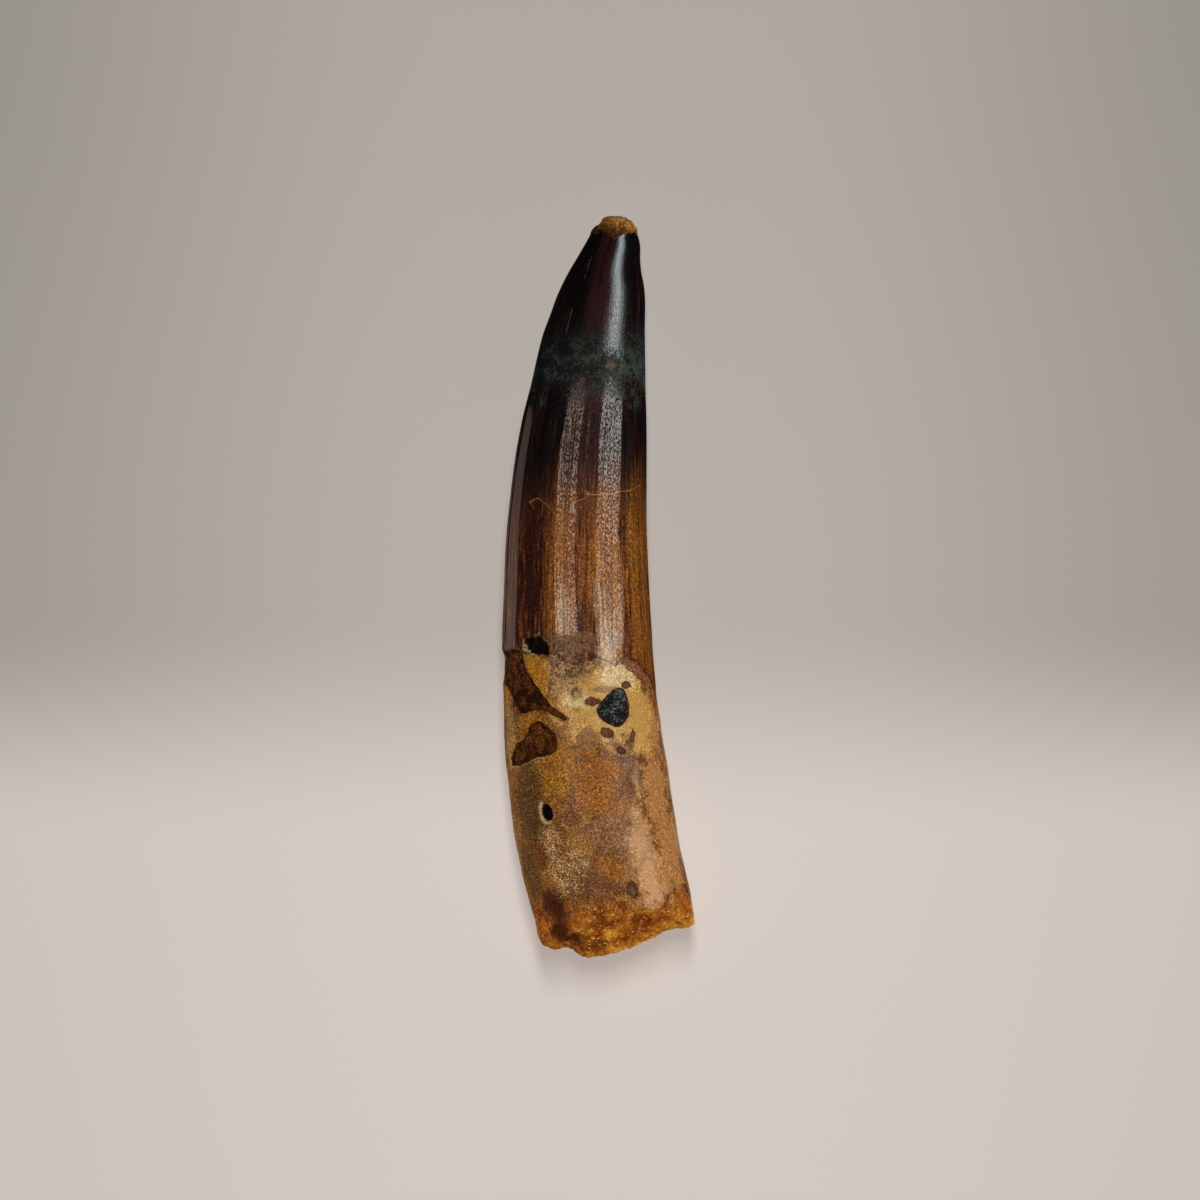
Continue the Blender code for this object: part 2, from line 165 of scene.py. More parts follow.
# Lumpiness of each surface, in layers: height of the lumps, their size, octaves, seed
LUMPS = {
    "edge": [(0.2, 0.9, 3, 3.0)],
    "crown line": [(0.35, 1.6, 3, 7.0)],
    "root": [(0.18, 7.0, 3, 0.0), (0.03, 0.8, 2, 5.0)],
    "crumbled root": [(0.12, 0.9, 3, 9.0), (0.15, 2.5, 2, 11.0)],
    "sunken floor": [(1.0, 1.1, 3, 13.0)],
    "broken rim": [(0.22, 1.4, 3, 17.0)],
    "broken face": [(0.4, 2.2, 3, 0.0), (0.3, 0.7, 3, 19.0)],
    "tip": [(0.2, 1.3, 3, 0.0), (0.16, 0.4, 3, 21.0)],
}

# Hairline cracks across the crown, and scratches along it, as (distance across, height)
CRACKS = [
    [(-2.3, 69.4), (-1.2, 68.6), (0.7, 68.7), (3.3, 69.1), (4.4, 69.2), (6.0, 70.0)],
    [(-3.6, 67.6), (-2.2, 68.1), (-1.4, 68.6)],
    [(-10.4, 67.7), (-9.1, 68.1), (-7.3, 66.5), (-6.3, 65.4)],
    [(-10.6, 67.7), (-9.7, 66.5)],
]
SCRATCHES = [
    [(-2.4, 100.3), (-1.7, 102.6), (-1.1, 104.2)],
    [(-3.4, 97.7), (-3.15, 98.3)],
    [(-5.1, 92.2), (-4.5, 94.6), (-4.0, 96.5)],
]

# Stained places, and places of painted highlight: distance across, height, reach round, reach along
STAINS = {
    "cream": [(0.7, 37.5, 6.6, 6.0), (5.9, 35.0, 3.0, 5.5)],
    "pale": [(2.6, 41.8, 3.4, 1.9), (-3.4, 38.2, 1.8, 1.2)],
    "buff": [(-13.4, 34.0, 1.9, 5.2), (-13.0, 21.0, 1.6, 8.5), (-11.6, 10.5, 1.2, 3.0)],
    "ochre": [(-5.6, 29.0, 1.8, 4.4), (-6.3, 26.0, 2.2, 2.0), (-13.3, 39.0, 0.8, 1.5),
              (-10.0, 35.0, 2.2, 2.6)],
    "olive": [(-10.4, 22.3, 3.2, 6.0), (-10.2, 12.8, 2.2, 4.2)],
    "orange": [(-0.4, 27.2, 3.3, 3.3), (-0.3, 23.4, 3.5, 2.4), (1.3, 13.6, 2.0, 1.9), (12.6, 7.9, 2.0, 2.6),
               (-1.5, 5.9, 4.5, 2.4), (10.6, 25.0, 0.6, 7.0), (-11.2, 36.0, 1.5, 1.5)],
    "dusty": [(1.5, 18.4, 3.2, 2.8), (-1.5, 32.8, 1.6, 1.3), (1.1, 39.9, 2.4, 0.5)],
    "pink": [(8.3, 25.5, 3.0, 9.0), (10.4, 17.5, 3.4, 8.5), (7.6, 33.5, 2.4, 6.0), (9.0, 11.5, 3.0, 4.0)],
    # Painted highlight, not a stain: pale streaks down the root's right side where its gloss runs
    "painted_sheen": [(6.6, 15.5, 2.2, 7.0), (7.9, 10.2, 2.0, 3.4), (5.4, 26.8, 1.0, 3.2)],
    "plum": [(5.9, 26.6, 0.6, 2.4), (4.4, 28.8, 1.5, 1.4)],
    "speckled": [(-5.9, 13.2, 2.6, 5.6), (-7.7, 17.5, 2.2, 2.6), (-3.6, 14.5, 1.8, 3.4)],
    "deep_red": [(-6.6, 7.7, 2.5, 2.6), (-5.9, 4.2, 2.4, 2.2), (13.0, 10.1, 0.5, 0.9)],
    "grey": [(-4.6, 43.2, 3.2, 3.2), (-7.1, 39.9, 1.0, 0.8), (-3.6, 39.4, 1.1, 1.0), (-4.9, 46.5, 4.6, 1.8)],
    # Tan: paler worn enamel, partly a painted highlight where the gloss bands run low on the crown
    "tan": [(1.0, 47.0, 2.0, 4.2), (-5.6, 51.5, 0.9, 5.5), (-0.4, 53.5, 0.7, 3.5)],
}

# Share of amber in the lower crown, and of maroon in the upper crown, by angle round the tooth
AMBER_LANES = [
    (0, 0.5), (10, 0.6), (26, 0.6), (34, 0.75), (40, 0.9), (46, 0.3), (51, 0.35), (57, 0.85), (61, 0.5),
    (66, 0.9), (72, 0.95), (78, 0.55), (84, 0.35), (91, 0.5), (95, 0.8), (99, 0.55), (103, 0.9), (108, 0.7),
    (112, 0.4), (117, 0.15), (125, 0.02), (160, 0.0), (185, 0.15), (205, 0.6), (220, 0.4), (240, 0.8),
    (262, 0.5), (280, 0.85), (300, 0.45), (325, 0.7), (345, 0.4), (360, 0.5),
]
MAROON_LANES = [
    (0, 0.3), (22, 0.4), (40, 0.15), (52, 0.02), (62, 0.2), (74, 0.7), (90, 0.95), (105, 0.8), (118, 0.4),
    (130, 0.05), (180, 0.0), (210, 0.3), (250, 0.9), (290, 0.6), (330, 0.3), (360, 0.5),
]
# How polished the surface is at each height, and how much of that the fine wrinkles break up
POLISH = [
    (0, 0.0), (12, 0.12), (30, 0.15), (42, 0.3), (48, 0.78), (53, 0.45), (57, 0.2), (63, 0.18), (68, 0.38),
    (74, 0.52), (80, 0.66), (84, 0.75), (88, 1.0), (110, 1.0),
]
WRINKLES = [(44, 0.7), (50, 0.9), (58, 1.0), (80, 1.0), (87, 0.95), (94, 0.75), (101, 0.45), (107, 0.2)]

# Fine mesh: segments round the tooth, and the space between rows in each stretch of its length
SEGMENTS = 324
FRONT_CROWDING = 0.34
BREAK_ROWS = 28
LOW_WALL_ROWS = 32
ROW_SPACES = [(28.0, 0.4), (48.0, 0.25), (86.0, 0.6), (TIP_START, 0.55)]
TIP_ROWS = 16

# Noise that is drawn out along the tooth is laid on an even cylinder of this radius
ROLL_RADIUS = 10.0

# The photograph: its width and the row of the root's end in pixels, and a pixel's size in millimetres
# at this height above the floor
PHOTO_WIDTH, ROOT_END_PIXEL = 1200, 958.5
PHOTO_PIXEL, PIXEL_PLANE = 0.148, 9.0
CAMERA_LENS, SENSOR = 500.0, 36.0


def smooth_curve(points):
    """A smooth curve through (place, value) points, as a function of place."""
    places, values = np.array(points, float).T
    slopes = np.gradient(values, places)

    def at(place):
        place = np.clip(place, places[0], places[-1])
        i = np.clip(np.searchsorted(places, place, side="right") - 1, 0, len(places) - 2)
        span = places[i + 1] - places[i]
        t = (place - places[i]) / span
        start = values[i] * (1 + 2 * t) * (1 - t) ** 2 + slopes[i] * span * t * (1 - t) ** 2
        end = values[i + 1] * t * t * (3 - 2 * t) + slopes[i + 1] * span * t * t * (t - 1)
        return start + end

    return at


left_edge, right_edge = smooth_curve(LEFT_EDGE), smooth_curve(RIGHT_EDGE)
half_thickness, underside_lift = smooth_curve(HALF_THICKNESS), smooth_curve(UNDERSIDE_LIFT)
break_low, break_front, break_back = map(smooth_curve, (BREAK_LOW, BREAK_FRONT, BREAK_BACK))
crown_line = smooth_curve(sorted(CROWN_LINE))
amber_lane, maroon_lane = smooth_curve(AMBER_LANES), smooth_curve(MAROON_LANES)
polish_at, wrinkle_at = smooth_curve(POLISH), smooth_curve(WRINKLES)


def smoothstep(low, high, value):
    """0 before low and 1 past high, smooth between; low may be the larger one."""
    t = np.clip((value - low) / (high - low), 0, 1)
    return t * t * (3 - 2 * t)


def middle_and_half(height):
    """Where a section's middle lies across the tooth, and half of the section's width."""
    left, right = left_edge(height), right_edge(height)
    return (left + right) / 2, (right - left) / 2


def angle_of(across, height):
    """Angle round the tooth of a point given by its distance across: 0 right, 90 up, 180 left."""
    middle, half = middle_and_half(height)
    share = (across - middle) / half
    angle = np.arccos(np.clip(share, -1, 1))
    return angle + np.maximum(-1 - share, 0) - np.maximum(share - 1, 0)


def turned(angle, place):
    """Angle from a place round the tooth, between minus and plus half a turn."""
    return np.mod(angle - place + math.pi, 2 * math.pi) - math.pi


def rounded(outline, times=2):
    """A closed outline with its corners cut, so that it is smooth."""
    points = np.array(outline, float)
    for _ in range(times):
        after = np.roll(points, -1, axis=0)
        points = np.stack([0.75 * points + 0.25 * after, 0.25 * points + 0.75 * after], 1).reshape(-1, 2)
    return points


def distance_to_outline(angle, height, outline):
    """Distance along the surface from points to an outline, negative inside it."""
    corners = rounded(outline)
    girth = middle_and_half(corners[:, 1].mean())[1]
    ends = np.stack([angle_of(corners[:, 0], corners[:, 1]) * girth, corners[:, 1]], 1)
    place = ends[:, 0].mean() / girth
    around = (turned(angle, place) + place) * girth
    nearest = np.full(np.shape(around), np.inf)
    inside = np.zeros(np.shape(around), bool)
    for (u1, v1), (u2, v2) in zip(ends, np.roll(ends, -1, axis=0)):
        du, dv = u2 - u1, v2 - v1
        along = np.clip(((around - u1) * du + (height - v1) * dv) / (du * du + dv * dv), 0, 1)
        nearest = np.minimum(nearest, np.hypot(around - u1 - along * du, height - v1 - along * dv))
        crosses = (v1 > height) != (v2 > height)
        at = u1 + (height - v1) * du / (dv if abs(dv) > 1e-9 else 1e-9)
        inside ^= crosses & (around < at)
    return np.where(inside, -nearest, nearest)


def distance_to_oval(angle, height, place, oval_height, half_width, half_length, turn=0):
    """About the distance from points to an oval on the surface, negative inside it."""
    girth = middle_and_half(oval_height)[1]
    u = turned(angle, place) * girth
    v = height - oval_height
    lean = math.radians(turn)
    u, v = u * math.cos(lean) + v * math.sin(lean), v * math.cos(lean) - u * math.sin(lean)
    return (np.hypot(u / half_width, v / half_length) - 1) * min(half_width, half_length)


def lumps(points, size, octaves, seed=0.0):
    """Smooth noise between about -1 and 1 at each point, with lumps of this size."""
    shift = Vector((seed, 2 * seed, -seed))
    return np.array([noise.fractal(Vector(p) / size + shift, 0.8, 2.1, octaves) for p in points])


def lumpy(points, surface):
    """The lumps of a named surface, with its layers added up."""
    return sum(high * lumps(points, size, octaves, seed) for high, size, octaves, seed in LUMPS[surface])


def rolled_out(angle, height):
    """Places on an even cylinder, for noise that is drawn out along the tooth."""
    return np.stack([ROLL_RADIUS * np.cos(angle), ROLL_RADIUS * np.sin(angle), height], 1)


class Field:
    """Distances on the surface from the named edges and from the pits, negative inside them."""

    def __init__(self, angle, height, points):
        self.angle, self.height = angle, height
        ragged = lumpy(points, "edge")
        signed = np.mod(np.degrees(angle) + 180, 360) - 180
        self.edges = {"above_crown_line": height - crown_line(signed) + lumpy(points, "crown line")}
        for name, (outline, raggedness) in OUTLINES.items():
            self.edges[name] = distance_to_outline(angle, height, outline) + raggedness * ragged
        ovals = [(float(angle_of(x, y)), y, *rest) for x, y, *rest in [DEEP_HOLE, SHALLOW_PIT] + PITS]
        ovals += [(math.radians(degrees), *rest) for degrees, *rest in BACK_PITS]
        hole, shallow, *small = [distance_to_oval(angle, height, *oval[:-1]) for oval in ovals]
        self.edges["hole"] = hole + 0.5 * ragged
        self.edges["shallow"] = shallow + 0.5 * ragged
        self.pits = [(away + ragged, oval[-1]) for away, oval in zip(small, ovals[2:])]


def facet_depth(degrees, height):
    """How far the flat facets lie inside the oval section."""
    crests = np.array(CRESTS + [CRESTS[0] + 360])
    swayed = degrees
    for sway, length, shift in CREST_SWAYS:
        swayed = swayed + sway * np.sin(height / length + shift * degrees)
    swayed = np.mod(swayed - CRESTS[0], 360) + CRESTS[0]
    i = np.clip(np.searchsorted(crests, swayed, side="right") - 1, 0, len(CRESTS) - 1)
    low, high = crests[i], crests[i + 1]
    share = (2 * swayed - low - high) / (high - low)
    radius = (middle_and_half(height)[1] + half_thickness(height)) / 2
    return radius * (1 - np.cos(np.radians((high - low) / 2))) * (1 - share ** 2)


def crown_relief(field, on_crown):
    """The crown's raised edge and the groove under it, its flat facets, grooves and two keels."""
    angle, height, above = field.angle, field.height, field.edges["above_crown_line"]
    degrees = np.degrees(angle)
    raised = CROWN_EDGE * on_crown * smoothstep(CROWN_EDGE_FADE, 0, above)
    groove = EDGE_GROOVE_DEPTH * np.exp(-((above / EDGE_GROOVE_WIDTH) ** 2))
    raised = raised - groove * smoothstep(0.5, -0.2, np.cos(angle - NO_GROOVE_ANGLE))
    faceted = smoothstep(FACETS_FROM, FACETS_FROM + 5, height) * smoothstep(FACETS_TO, FACETS_TO - 9, height)
    raised = raised - faceted * facet_depth(degrees, height)
    raised = raised + faceted * 0.02 * lumps(rolled_out(angle, height / 25), 0.6, 2)
    for place, width, depth in GROOVES:
        away = np.mod(degrees - place + 180, 360) - 180
        raised = raised - depth * faceted * np.exp(-((away / width) ** 2))
    for place in KEEL_ANGLES:
        away = np.abs(np.mod(degrees - place + 180, 360) - 180)
        raised = raised + KEEL_HEIGHT * faceted * np.maximum(1 - away / KEEL_WIDTH, 0)
    return raised


def sunken_depth(field, points):
    """How deep the patches, the gap under the crown, the hole, the pits and the middle hollow are."""
    edges, floor = field.edges, lumpy(points, "sunken floor")
    # Depth, distance from the edge, where the slope starts and ends, and how uneven the floor is
    places = [
        (UPPER_PATCH_DEPTH, edges["upper_patch"], 0.2, -0.2, 0.25),
        (LOWER_PATCH_DEPTH, edges["lower_patch"], 0.25, -0.3, 0.25),
        (GAP_DEPTH, edges["gap"], 0.15, -0.5, 0.4),
        (DEEP_HOLE[-1], edges["hole"], 0.1, -0.45, 0.0),
        (SHALLOW_PIT[-1], edges["shallow"], 0.15, -0.4, 0.0),
    ]
    places += [(depth, away, 0.1, -0.3, 0.5) for away, depth in field.pits]
    dome = PEBBLE_DOME * smoothstep(-0.1, -1.4, edges["pebble"]) + 0.16 * floor
    sunk = np.maximum(smoothstep(0.12, -0.2, edges["pebble"]) * (PEBBLE_DEPTH - dome), 0)
    for depth, away, start, end, uneven in places:
        sunk = np.maximum(sunk, depth * smoothstep(start, end, away) * (1 + uneven * floor))
    return sunk


def relief(field, points):
    """How far each point of the wall stands out from the plain oval sections."""
    on_crown = smoothstep(-0.1, 0.1, field.edges["above_crown_line"])
    raised = crown_relief(field, on_crown) + (1 - on_crown) * lumpy(points, "root")
    raised = raised + smoothstep(*CRUMBLED, field.height) * lumpy(points, "crumbled root")
    notch = np.exp(-(((points[:, 0] - NOTCH_ACROSS) / NOTCH_WIDTH) ** 2)) * (np.sin(field.angle) > 0)
    raised = raised - NOTCH_DEPTH * notch * smoothstep(NOTCH_TOP, NOTCH_TOP - 4, field.height)
    lip = HOLE_LIP * np.exp(-((field.edges["hole"] - 0.3) / 0.2) ** 2)
    return raised - sunken_depth(field, points) + lip


def section(angle, height):
    """Points of the plain oval sections, and the way their surface faces."""
    middle, half = middle_and_half(height)
    thick = half_thickness(height)
    rise = np.sin(angle)
    up = np.where(rise > 0, rise, -np.abs(rise) ** UNDERSIDE_POWER)
    level = thick + underside_lift(height)
    points = np.stack([middle + half * np.cos(angle), height, level + thick * up], 1)
    facing = np.stack([np.cos(angle) / half, 0 * angle, rise / thick], 1)
    return points, facing / np.linalg.norm(facing, axis=1)[:, None]


def break_height(across, share_up):
    """Height of the root's broken face, by distance across and share of the way to the front."""
    low = break_low(across)
    front = (break_front(across) - low) * smoothstep(0.1, 1.0, share_up)
    back = (break_back(across) - low) * smoothstep(0.0, 1.0, -share_up)
    return low + np.maximum(front, 0) + np.maximum(back, 0)


def rim_height(angle):
    """Height at which the wall ends in the broken face."""
    height = np.full(len(angle), BREAK_MEAN)
    for _ in range(4):
        points, _ = section(angle, height)
        height = break_height(points[:, 0], np.sin(angle))
    return height + lumpy(points, "broken rim")


def wall(angle, height):
    points, facing = section(angle, height)
    points = points + facing * relief(Field(angle, height, points), points)[:, None]
    points[:, 2] = np.maximum(points[:, 2], REST_FLAT)
    return points


def broken_face(angle, share):
    """Points of the broken face, from its middle at share 0 to the rim at share 1."""
    turns = angle[:SEGMENTS]
    rim = np.tile(wall(turns, rim_height(turns)), (len(angle) // SEGMENTS, 1))
    centre = np.array([BREAK_CENTRE[0], 0, BREAK_CENTRE[1]])
    points = centre + (rim - centre) * share[:, None]
    plain = break_height(points[:, 0], share * np.sin(angle))
    at_rim = np.tile(break_height(rim[: SEGMENTS, 0], np.sin(turns)), len(angle) // SEGMENTS)
    points[:, 1] = plain + (rim[:, 1] - at_rim) * smoothstep(0.8, 1.0, share)
    rough = BREAK_ROUGH + lumpy(points, "broken face")
    points[:, 1] = np.maximum(points[:, 1] + np.maximum(rough, 0) * smoothstep(1.0, 0.85, share), 0)
    return points


def worn_tip(angle, climb):
    """Points of the tip: it domes over from the crown's end at climb 0 to its top at a quarter turn."""
    turns = angle[:SEGMENTS]
    base = wall(turns, np.full(SEGMENTS, TIP_START))
    centre = base.mean(axis=0)
    points = centre + (np.tile(base, (len(angle) // SEGMENTS, 1)) - centre) * np.cos(climb)[:, None]
    dome = TIP_RISE * np.sin(climb)
    bite = TIP_BITE * smoothstep(*TIP_BITE_EDGE, points[:, 0]) * np.sin(climb)
    points[:, 1] = TIP_START + dome - bite
    grain = lumpy(points, "tip")
    points += (grain * smoothstep(0, 0.4, climb))[:, None] * np.array([0.4, 0.8, 0.4])
    points[:, 1] = np.minimum(points[:, 1], LENGTH)
    return points


def row_heights():
    """Heights of the rows of the wall, above the stretch that follows the broken rim."""
    heights, height = [], WALL_START
    for stop, space in ROW_SPACES:
        while height < stop - space / 2:
            heights.append(height)
            height += space
    return np.array(heights)


def tooth_points(angle):
    """The rings of points from the middle of the broken face to the top of the tip, and their heights."""
    def all_round(values):
        return np.tile(angle, len(values)), np.repeat(values, SEGMENTS)

    face = broken_face(*all_round(np.arange(1, BREAK_ROWS) / BREAK_ROWS))
    turns, share = all_round(np.arange(LOW_WALL_ROWS) / LOW_WALL_ROWS)
    low_heights = np.tile(rim_height(angle), LOW_WALL_ROWS) * (1 - share) + WALL_START * share
    low_wall = wall(turns, low_heights)
    turns, heights = all_round(row_heights())
    high_wall = wall(turns, heights)
    tip = worn_tip(*all_round(math.pi / 2 * np.arange(TIP_ROWS) / TIP_ROWS))
    points = np.concatenate([face, low_wall, high_wall, tip])
    broken = np.concatenate([np.ones(len(face)), np.zeros(len(low_wall) + len(high_wall) + len(tip))])
    surface_heights = np.concatenate([face[:, 1], low_heights, heights, tip[:, 1]])
    return points, surface_heights, broken


def spot_strength(angle, height, spots):
    """How strongly soft oval stains cover each point, from 0 to 1."""
    strength = np.zeros(len(angle))
    for across, spot_height, around, along in spots:
        girth = middle_and_half(spot_height)[1]
        u = turned(angle, float(angle_of(across, spot_height))) * girth / around
        v = (height - spot_height) / along
        strength = np.maximum(strength, np.exp(-((u * u + v * v) ** 1.3) * 0.9))
    return strength


def line_offset(angle, height, lines, upright):
    """Distance from the nearest line, signed by its side. It is large past the line's ends."""
    middle, half = middle_and_half(height)
    across = middle + half * np.cos(angle)
    along, aside = (height, across) if upright else (across, height)
    nearest = np.full(len(angle), 99.0)
    for line in lines:
        places, heights = np.array(line).T
        ends, sides = (heights, places) if upright else (places, heights)
        offset = aside - np.interp(along, ends, sides)
        past = np.maximum(ends[0] - along, 0) + np.maximum(along - ends[-1], 0)
        away = np.abs(offset) + 20 * past + 99.0 * (np.sin(angle) < 0)
        nearest = np.where(away < np.abs(nearest), np.where(offset < 0, -away, away), nearest)
    return nearest


def surface_values(angle, height, broken, points):
    """What the material needs to know at each point, by name."""
    field = Field(angle, height, points)
    degrees = np.mod(np.degrees(angle), 360)
    above_end = points[:, 1] - break_low(points[:, 0])
    values = {
        **field.edges,
        "pits": np.min([away for away, _ in field.pits], axis=0),
        "broken": broken,
        "crack": line_offset(angle, height, CRACKS, upright=False),
        "scratch": line_offset(angle, height, SCRATCHES, upright=True),
        "amber": amber_lane(degrees),
        "maroon": maroon_lane(degrees),
        "polish": np.clip(polish_at(height), 0, 1),
        "wrinkles": np.clip(wrinkle_at(height), 0, 1) * smoothstep(0.35, 0.7, np.abs(np.sin(angle))),
        "bright_rim": np.exp(-((above_end / 1.2) ** 2)) * smoothstep(-2.5, 1.0, points[:, 0]),
    }
    for name, spots in STAINS.items():
        values[name] = spot_strength(angle, height, spots)
    return values


def make_tooth():
    """The tooth's mesh, with what its material needs to know at each point."""
    turns = 2 * math.pi * np.arange(SEGMENTS) / SEGMENTS
    angle = turns + FRONT_CROWDING * np.cos(turns)
    points, heights, broken = tooth_points(angle)
    rings = len(points) // SEGMENTS
    ends = np.array([points[:SEGMENTS].mean(axis=0), points[-SEGMENTS:].mean(axis=0)])
    ends[1, 1] = max(ends[1, 1], LENGTH - 0.1)
    first = np.arange(rings * SEGMENTS).reshape(rings, SEGMENTS)
    after = np.roll(first, -1, axis=1)
    quads = np.stack([first[:-1], after[:-1], after[1:], first[1:]], 2).reshape(-1, 4)
    bottom, top = rings * SEGMENTS, rings * SEGMENTS + 1
    low_fan = [(bottom, b, a) for a, b in zip(first[0].tolist(), after[0].tolist())]
    high_fan = [(top, a, b) for a, b in zip(first[-1].tolist(), after[-1].tolist())]
    all_points = (np.concatenate([points, ends]) - MIDDLE) * MM

    mesh = bpy.data.meshes.new("fossil_tooth_surface")
    mesh.from_pydata(all_points.tolist(), [], quads.tolist() + low_fan + high_fan)
    mesh.flip_normals()
    mesh.shade_smooth()

    all_angles = np.append(np.tile(angle, rings), (0, 0))
    all_heights = np.append(heights, ends[:, 1])
    all_broken = np.append(broken, (1, 0))
    plain = np.concatenate([points, ends])
    for name, numbers in surface_values(all_angles, all_heights, all_broken, plain).items():
        made = mesh.attributes.new(name, "FLOAT", "POINT")
        made.data.foreach_set("value", numbers.astype(np.float32))
    made = mesh.attributes.new("rolled", "FLOAT_VECTOR", "POINT")
    made.data.foreach_set("vector", rolled_out(all_angles, all_heights).astype(np.float32).ravel())

    tooth = bpy.data.objects.new("fossil_tooth_surface", mesh)
    bpy.context.scene.collection.objects.link(tooth)
    return tooth


# The level of noise at which a grained colour stays as it is
GRAIN_MIDDLE = 0.51


class Shader:
    """Short ways to make the nodes of a material."""

    def __init__(self, name):
        self.material = bpy.data.materials.new(name)
        self.material.use_nodes = True
        self.tree = self.material.node_tree
        self.surface = self.tree.nodes["Principled BSDF"]
        coordinates = self.node("TexCoord").outputs["Object"]
        scaled = self.node("VectorMath", {0: coordinates, "Scale": 1 / MM}, operation="SCALE")
        self.place = scaled.outputs[0]

    def feed(self, socket, value):
        if isinstance(value, bpy.types.NodeSocket):
            self.tree.links.new(value, socket)
        elif isinstance(value, tuple) and len(value) == 3 and socket.type == "RGBA":
            socket.default_value = (*value, 1)
        else:
            socket.default_value = value

    def node(self, kind, inputs=(), **settings):
        """A new node with these settings. Its inputs are fed by name or number."""
        node = self.tree.nodes.new("ShaderNode" + kind)
        for name, value in settings.items():
            setattr(node, name, value)
        for socket, value in dict(inputs).items():
            self.feed(node.inputs[socket], value)
        return node

    def attribute(self, name):
        node = self.node("Attribute", attribute_name=name)
        return node.outputs["Vector" if name == "rolled" else "Fac"]

    def vector_maths(self, operation, *values):
        return self.node("VectorMath", enumerate(values), operation=operation).outputs[0]

    def maths(self, operation, *values):
        return self.node("Math", enumerate(values), operation=operation).outputs[0]

    def chain(self, operation, values):
        """One operation on all the values, from the first to the last."""
        total, *others = values
        for value in others:
            total = self.maths(operation, total, value)
        return total

    def add(self, *values):
        return self.chain("ADD", values)

    def times(self, *values):
        return self.chain("MULTIPLY", values)

    def largest(self, *values):
        return self.chain("MAXIMUM", values)

    def without(self, value):
        """One minus the value."""
        return self.maths("SUBTRACT", 1.0, value)

    def swing(self, noise, amount):
        """Noise moved to lie evenly about zero, and made this strong."""
        return self.times(self.maths("SUBTRACT", noise, 0.5), amount)

    def step(self, value, low, high):
        """0 below low and 1 above high, smooth between; low may be the larger one."""
        to_min, to_max = (1.0, 0.0) if low > high else (0.0, 1.0)
        inputs = {
            "Value": value, "From Min": min(low, high), "From Max": max(low, high),
            "To Min": to_min, "To Max": to_max,
        }
        return self.node("MapRange", inputs, interpolation_type="SMOOTHSTEP").outputs["Result"]

    def band(self, value, centre, width):
        """1 at the centre, falling to 0 at this distance on both sides."""
        away = self.maths("ABSOLUTE", self.maths("SUBTRACT", value, centre))
        return self.step(away, width, 0.0)

    def mix(self, share, first, second, blend_type="MIX"):
        """The first colour where share is 0 and the second where it is 1."""
        inputs = {"Factor": share, "A": first, "B": second}
        return self.node("Mix", inputs, data_type="RGBA", blend_type=blend_type).outputs["Result"]

    def grained(self, colour, noise, contrast):
        """A colour made darker and lighter by noise, with its lightest grains standing out most."""
        around = self.maths("SUBTRACT", noise, GRAIN_MIDDLE)
        brightness = self.maths("POWER", 2.0, self.times(around, contrast))
        return self.mix(1.0, colour, brightness, "MULTIPLY")

    def blend(self, share, first, second):
        """The first number where share is 0 and the second where it is 1."""
        return self.node("Mix", {0: share, 2: first, 3: second}).outputs[0]

    def split(self, vector, part):
        """One coordinate of a place."""
        return self.node("SeparateXYZ", {0: vector}).outputs[part]

    def noise(self, where, size, detail=2.0, stretch=1.0, roughness=0.55, seed=0.0):
        """Noise from 0 to 1 with features of this size in millimetres, drawn out along the tooth."""
        if stretch == 1.0:
            # Turned coordinates hide the grid of the noise
            inputs = {"Vector": where, "Rotation": (0.6, 0.9, 0.4)}
            where = self.node("VectorRotate", inputs, rotation_type="EULER_XYZ").outputs["Vector"]
        squeezed = self.vector_maths("MULTIPLY", where, (1 / size, 1 / size, 1 / (size * stretch)))
        moved = self.vector_maths("ADD", squeezed, (seed, -seed, seed / 2))
        inputs = {"Vector": moved, "Scale": 1.0, "Detail": detail, "Roughness": roughness}
        return self.node("TexNoise", inputs).outputs["Fac"]


# Colours of the tooth
ENAMEL_BLACK = (0.0025, 0.0018, 0.0018)
ENAMEL_MAROON = (0.023, 0.006, 0.006)
SLATE = (0.0035, 0.006, 0.0058)
SLATE_PALE = (0.042, 0.052, 0.043)
SLATE_RUST = (0.11, 0.055, 0.024)
ENAMEL_DARK_BROWN = (0.026, 0.005, 0.002)
ENAMEL_BROWN = (0.15, 0.044, 0.008)
ENAMEL_AMBER = (0.26, 0.092, 0.011)
# Paler worn enamel, partly a painted highlight
ENAMEL_TAN_AND_HIGHLIGHT = (0.42, 0.29, 0.17)
ROOT_GOLD = (0.255, 0.102, 0.0115)
ROOT_BROWN = (0.12, 0.036, 0.005)
PALE_CREAM = (0.62, 0.46, 0.22)
HAZE = (0.66, 0.42, 0.2)
WEDGE_GOLD = (0.34, 0.14, 0.01)
CRESCENT_BROWN = (0.18, 0.066, 0.025)
PLUM = (0.17, 0.075, 0.045)
GREY_BROWN = (0.4, 0.24, 0.097)
GREY_UMBER = (0.19, 0.1, 0.045)
GREY_DARK = (0.045, 0.015, 0.006)
PATCH_DARK = (0.018, 0.004, 0.001)
PATCH_BROWN = (0.1, 0.028, 0.003)
PEBBLE_BLACK = (0.004, 0.005, 0.005)
PEBBLE_GREY = (0.16, 0.175, 0.155)
PIT_RED = (0.06, 0.015, 0.007)
PIT_PALE = (0.2, 0.08, 0.045)
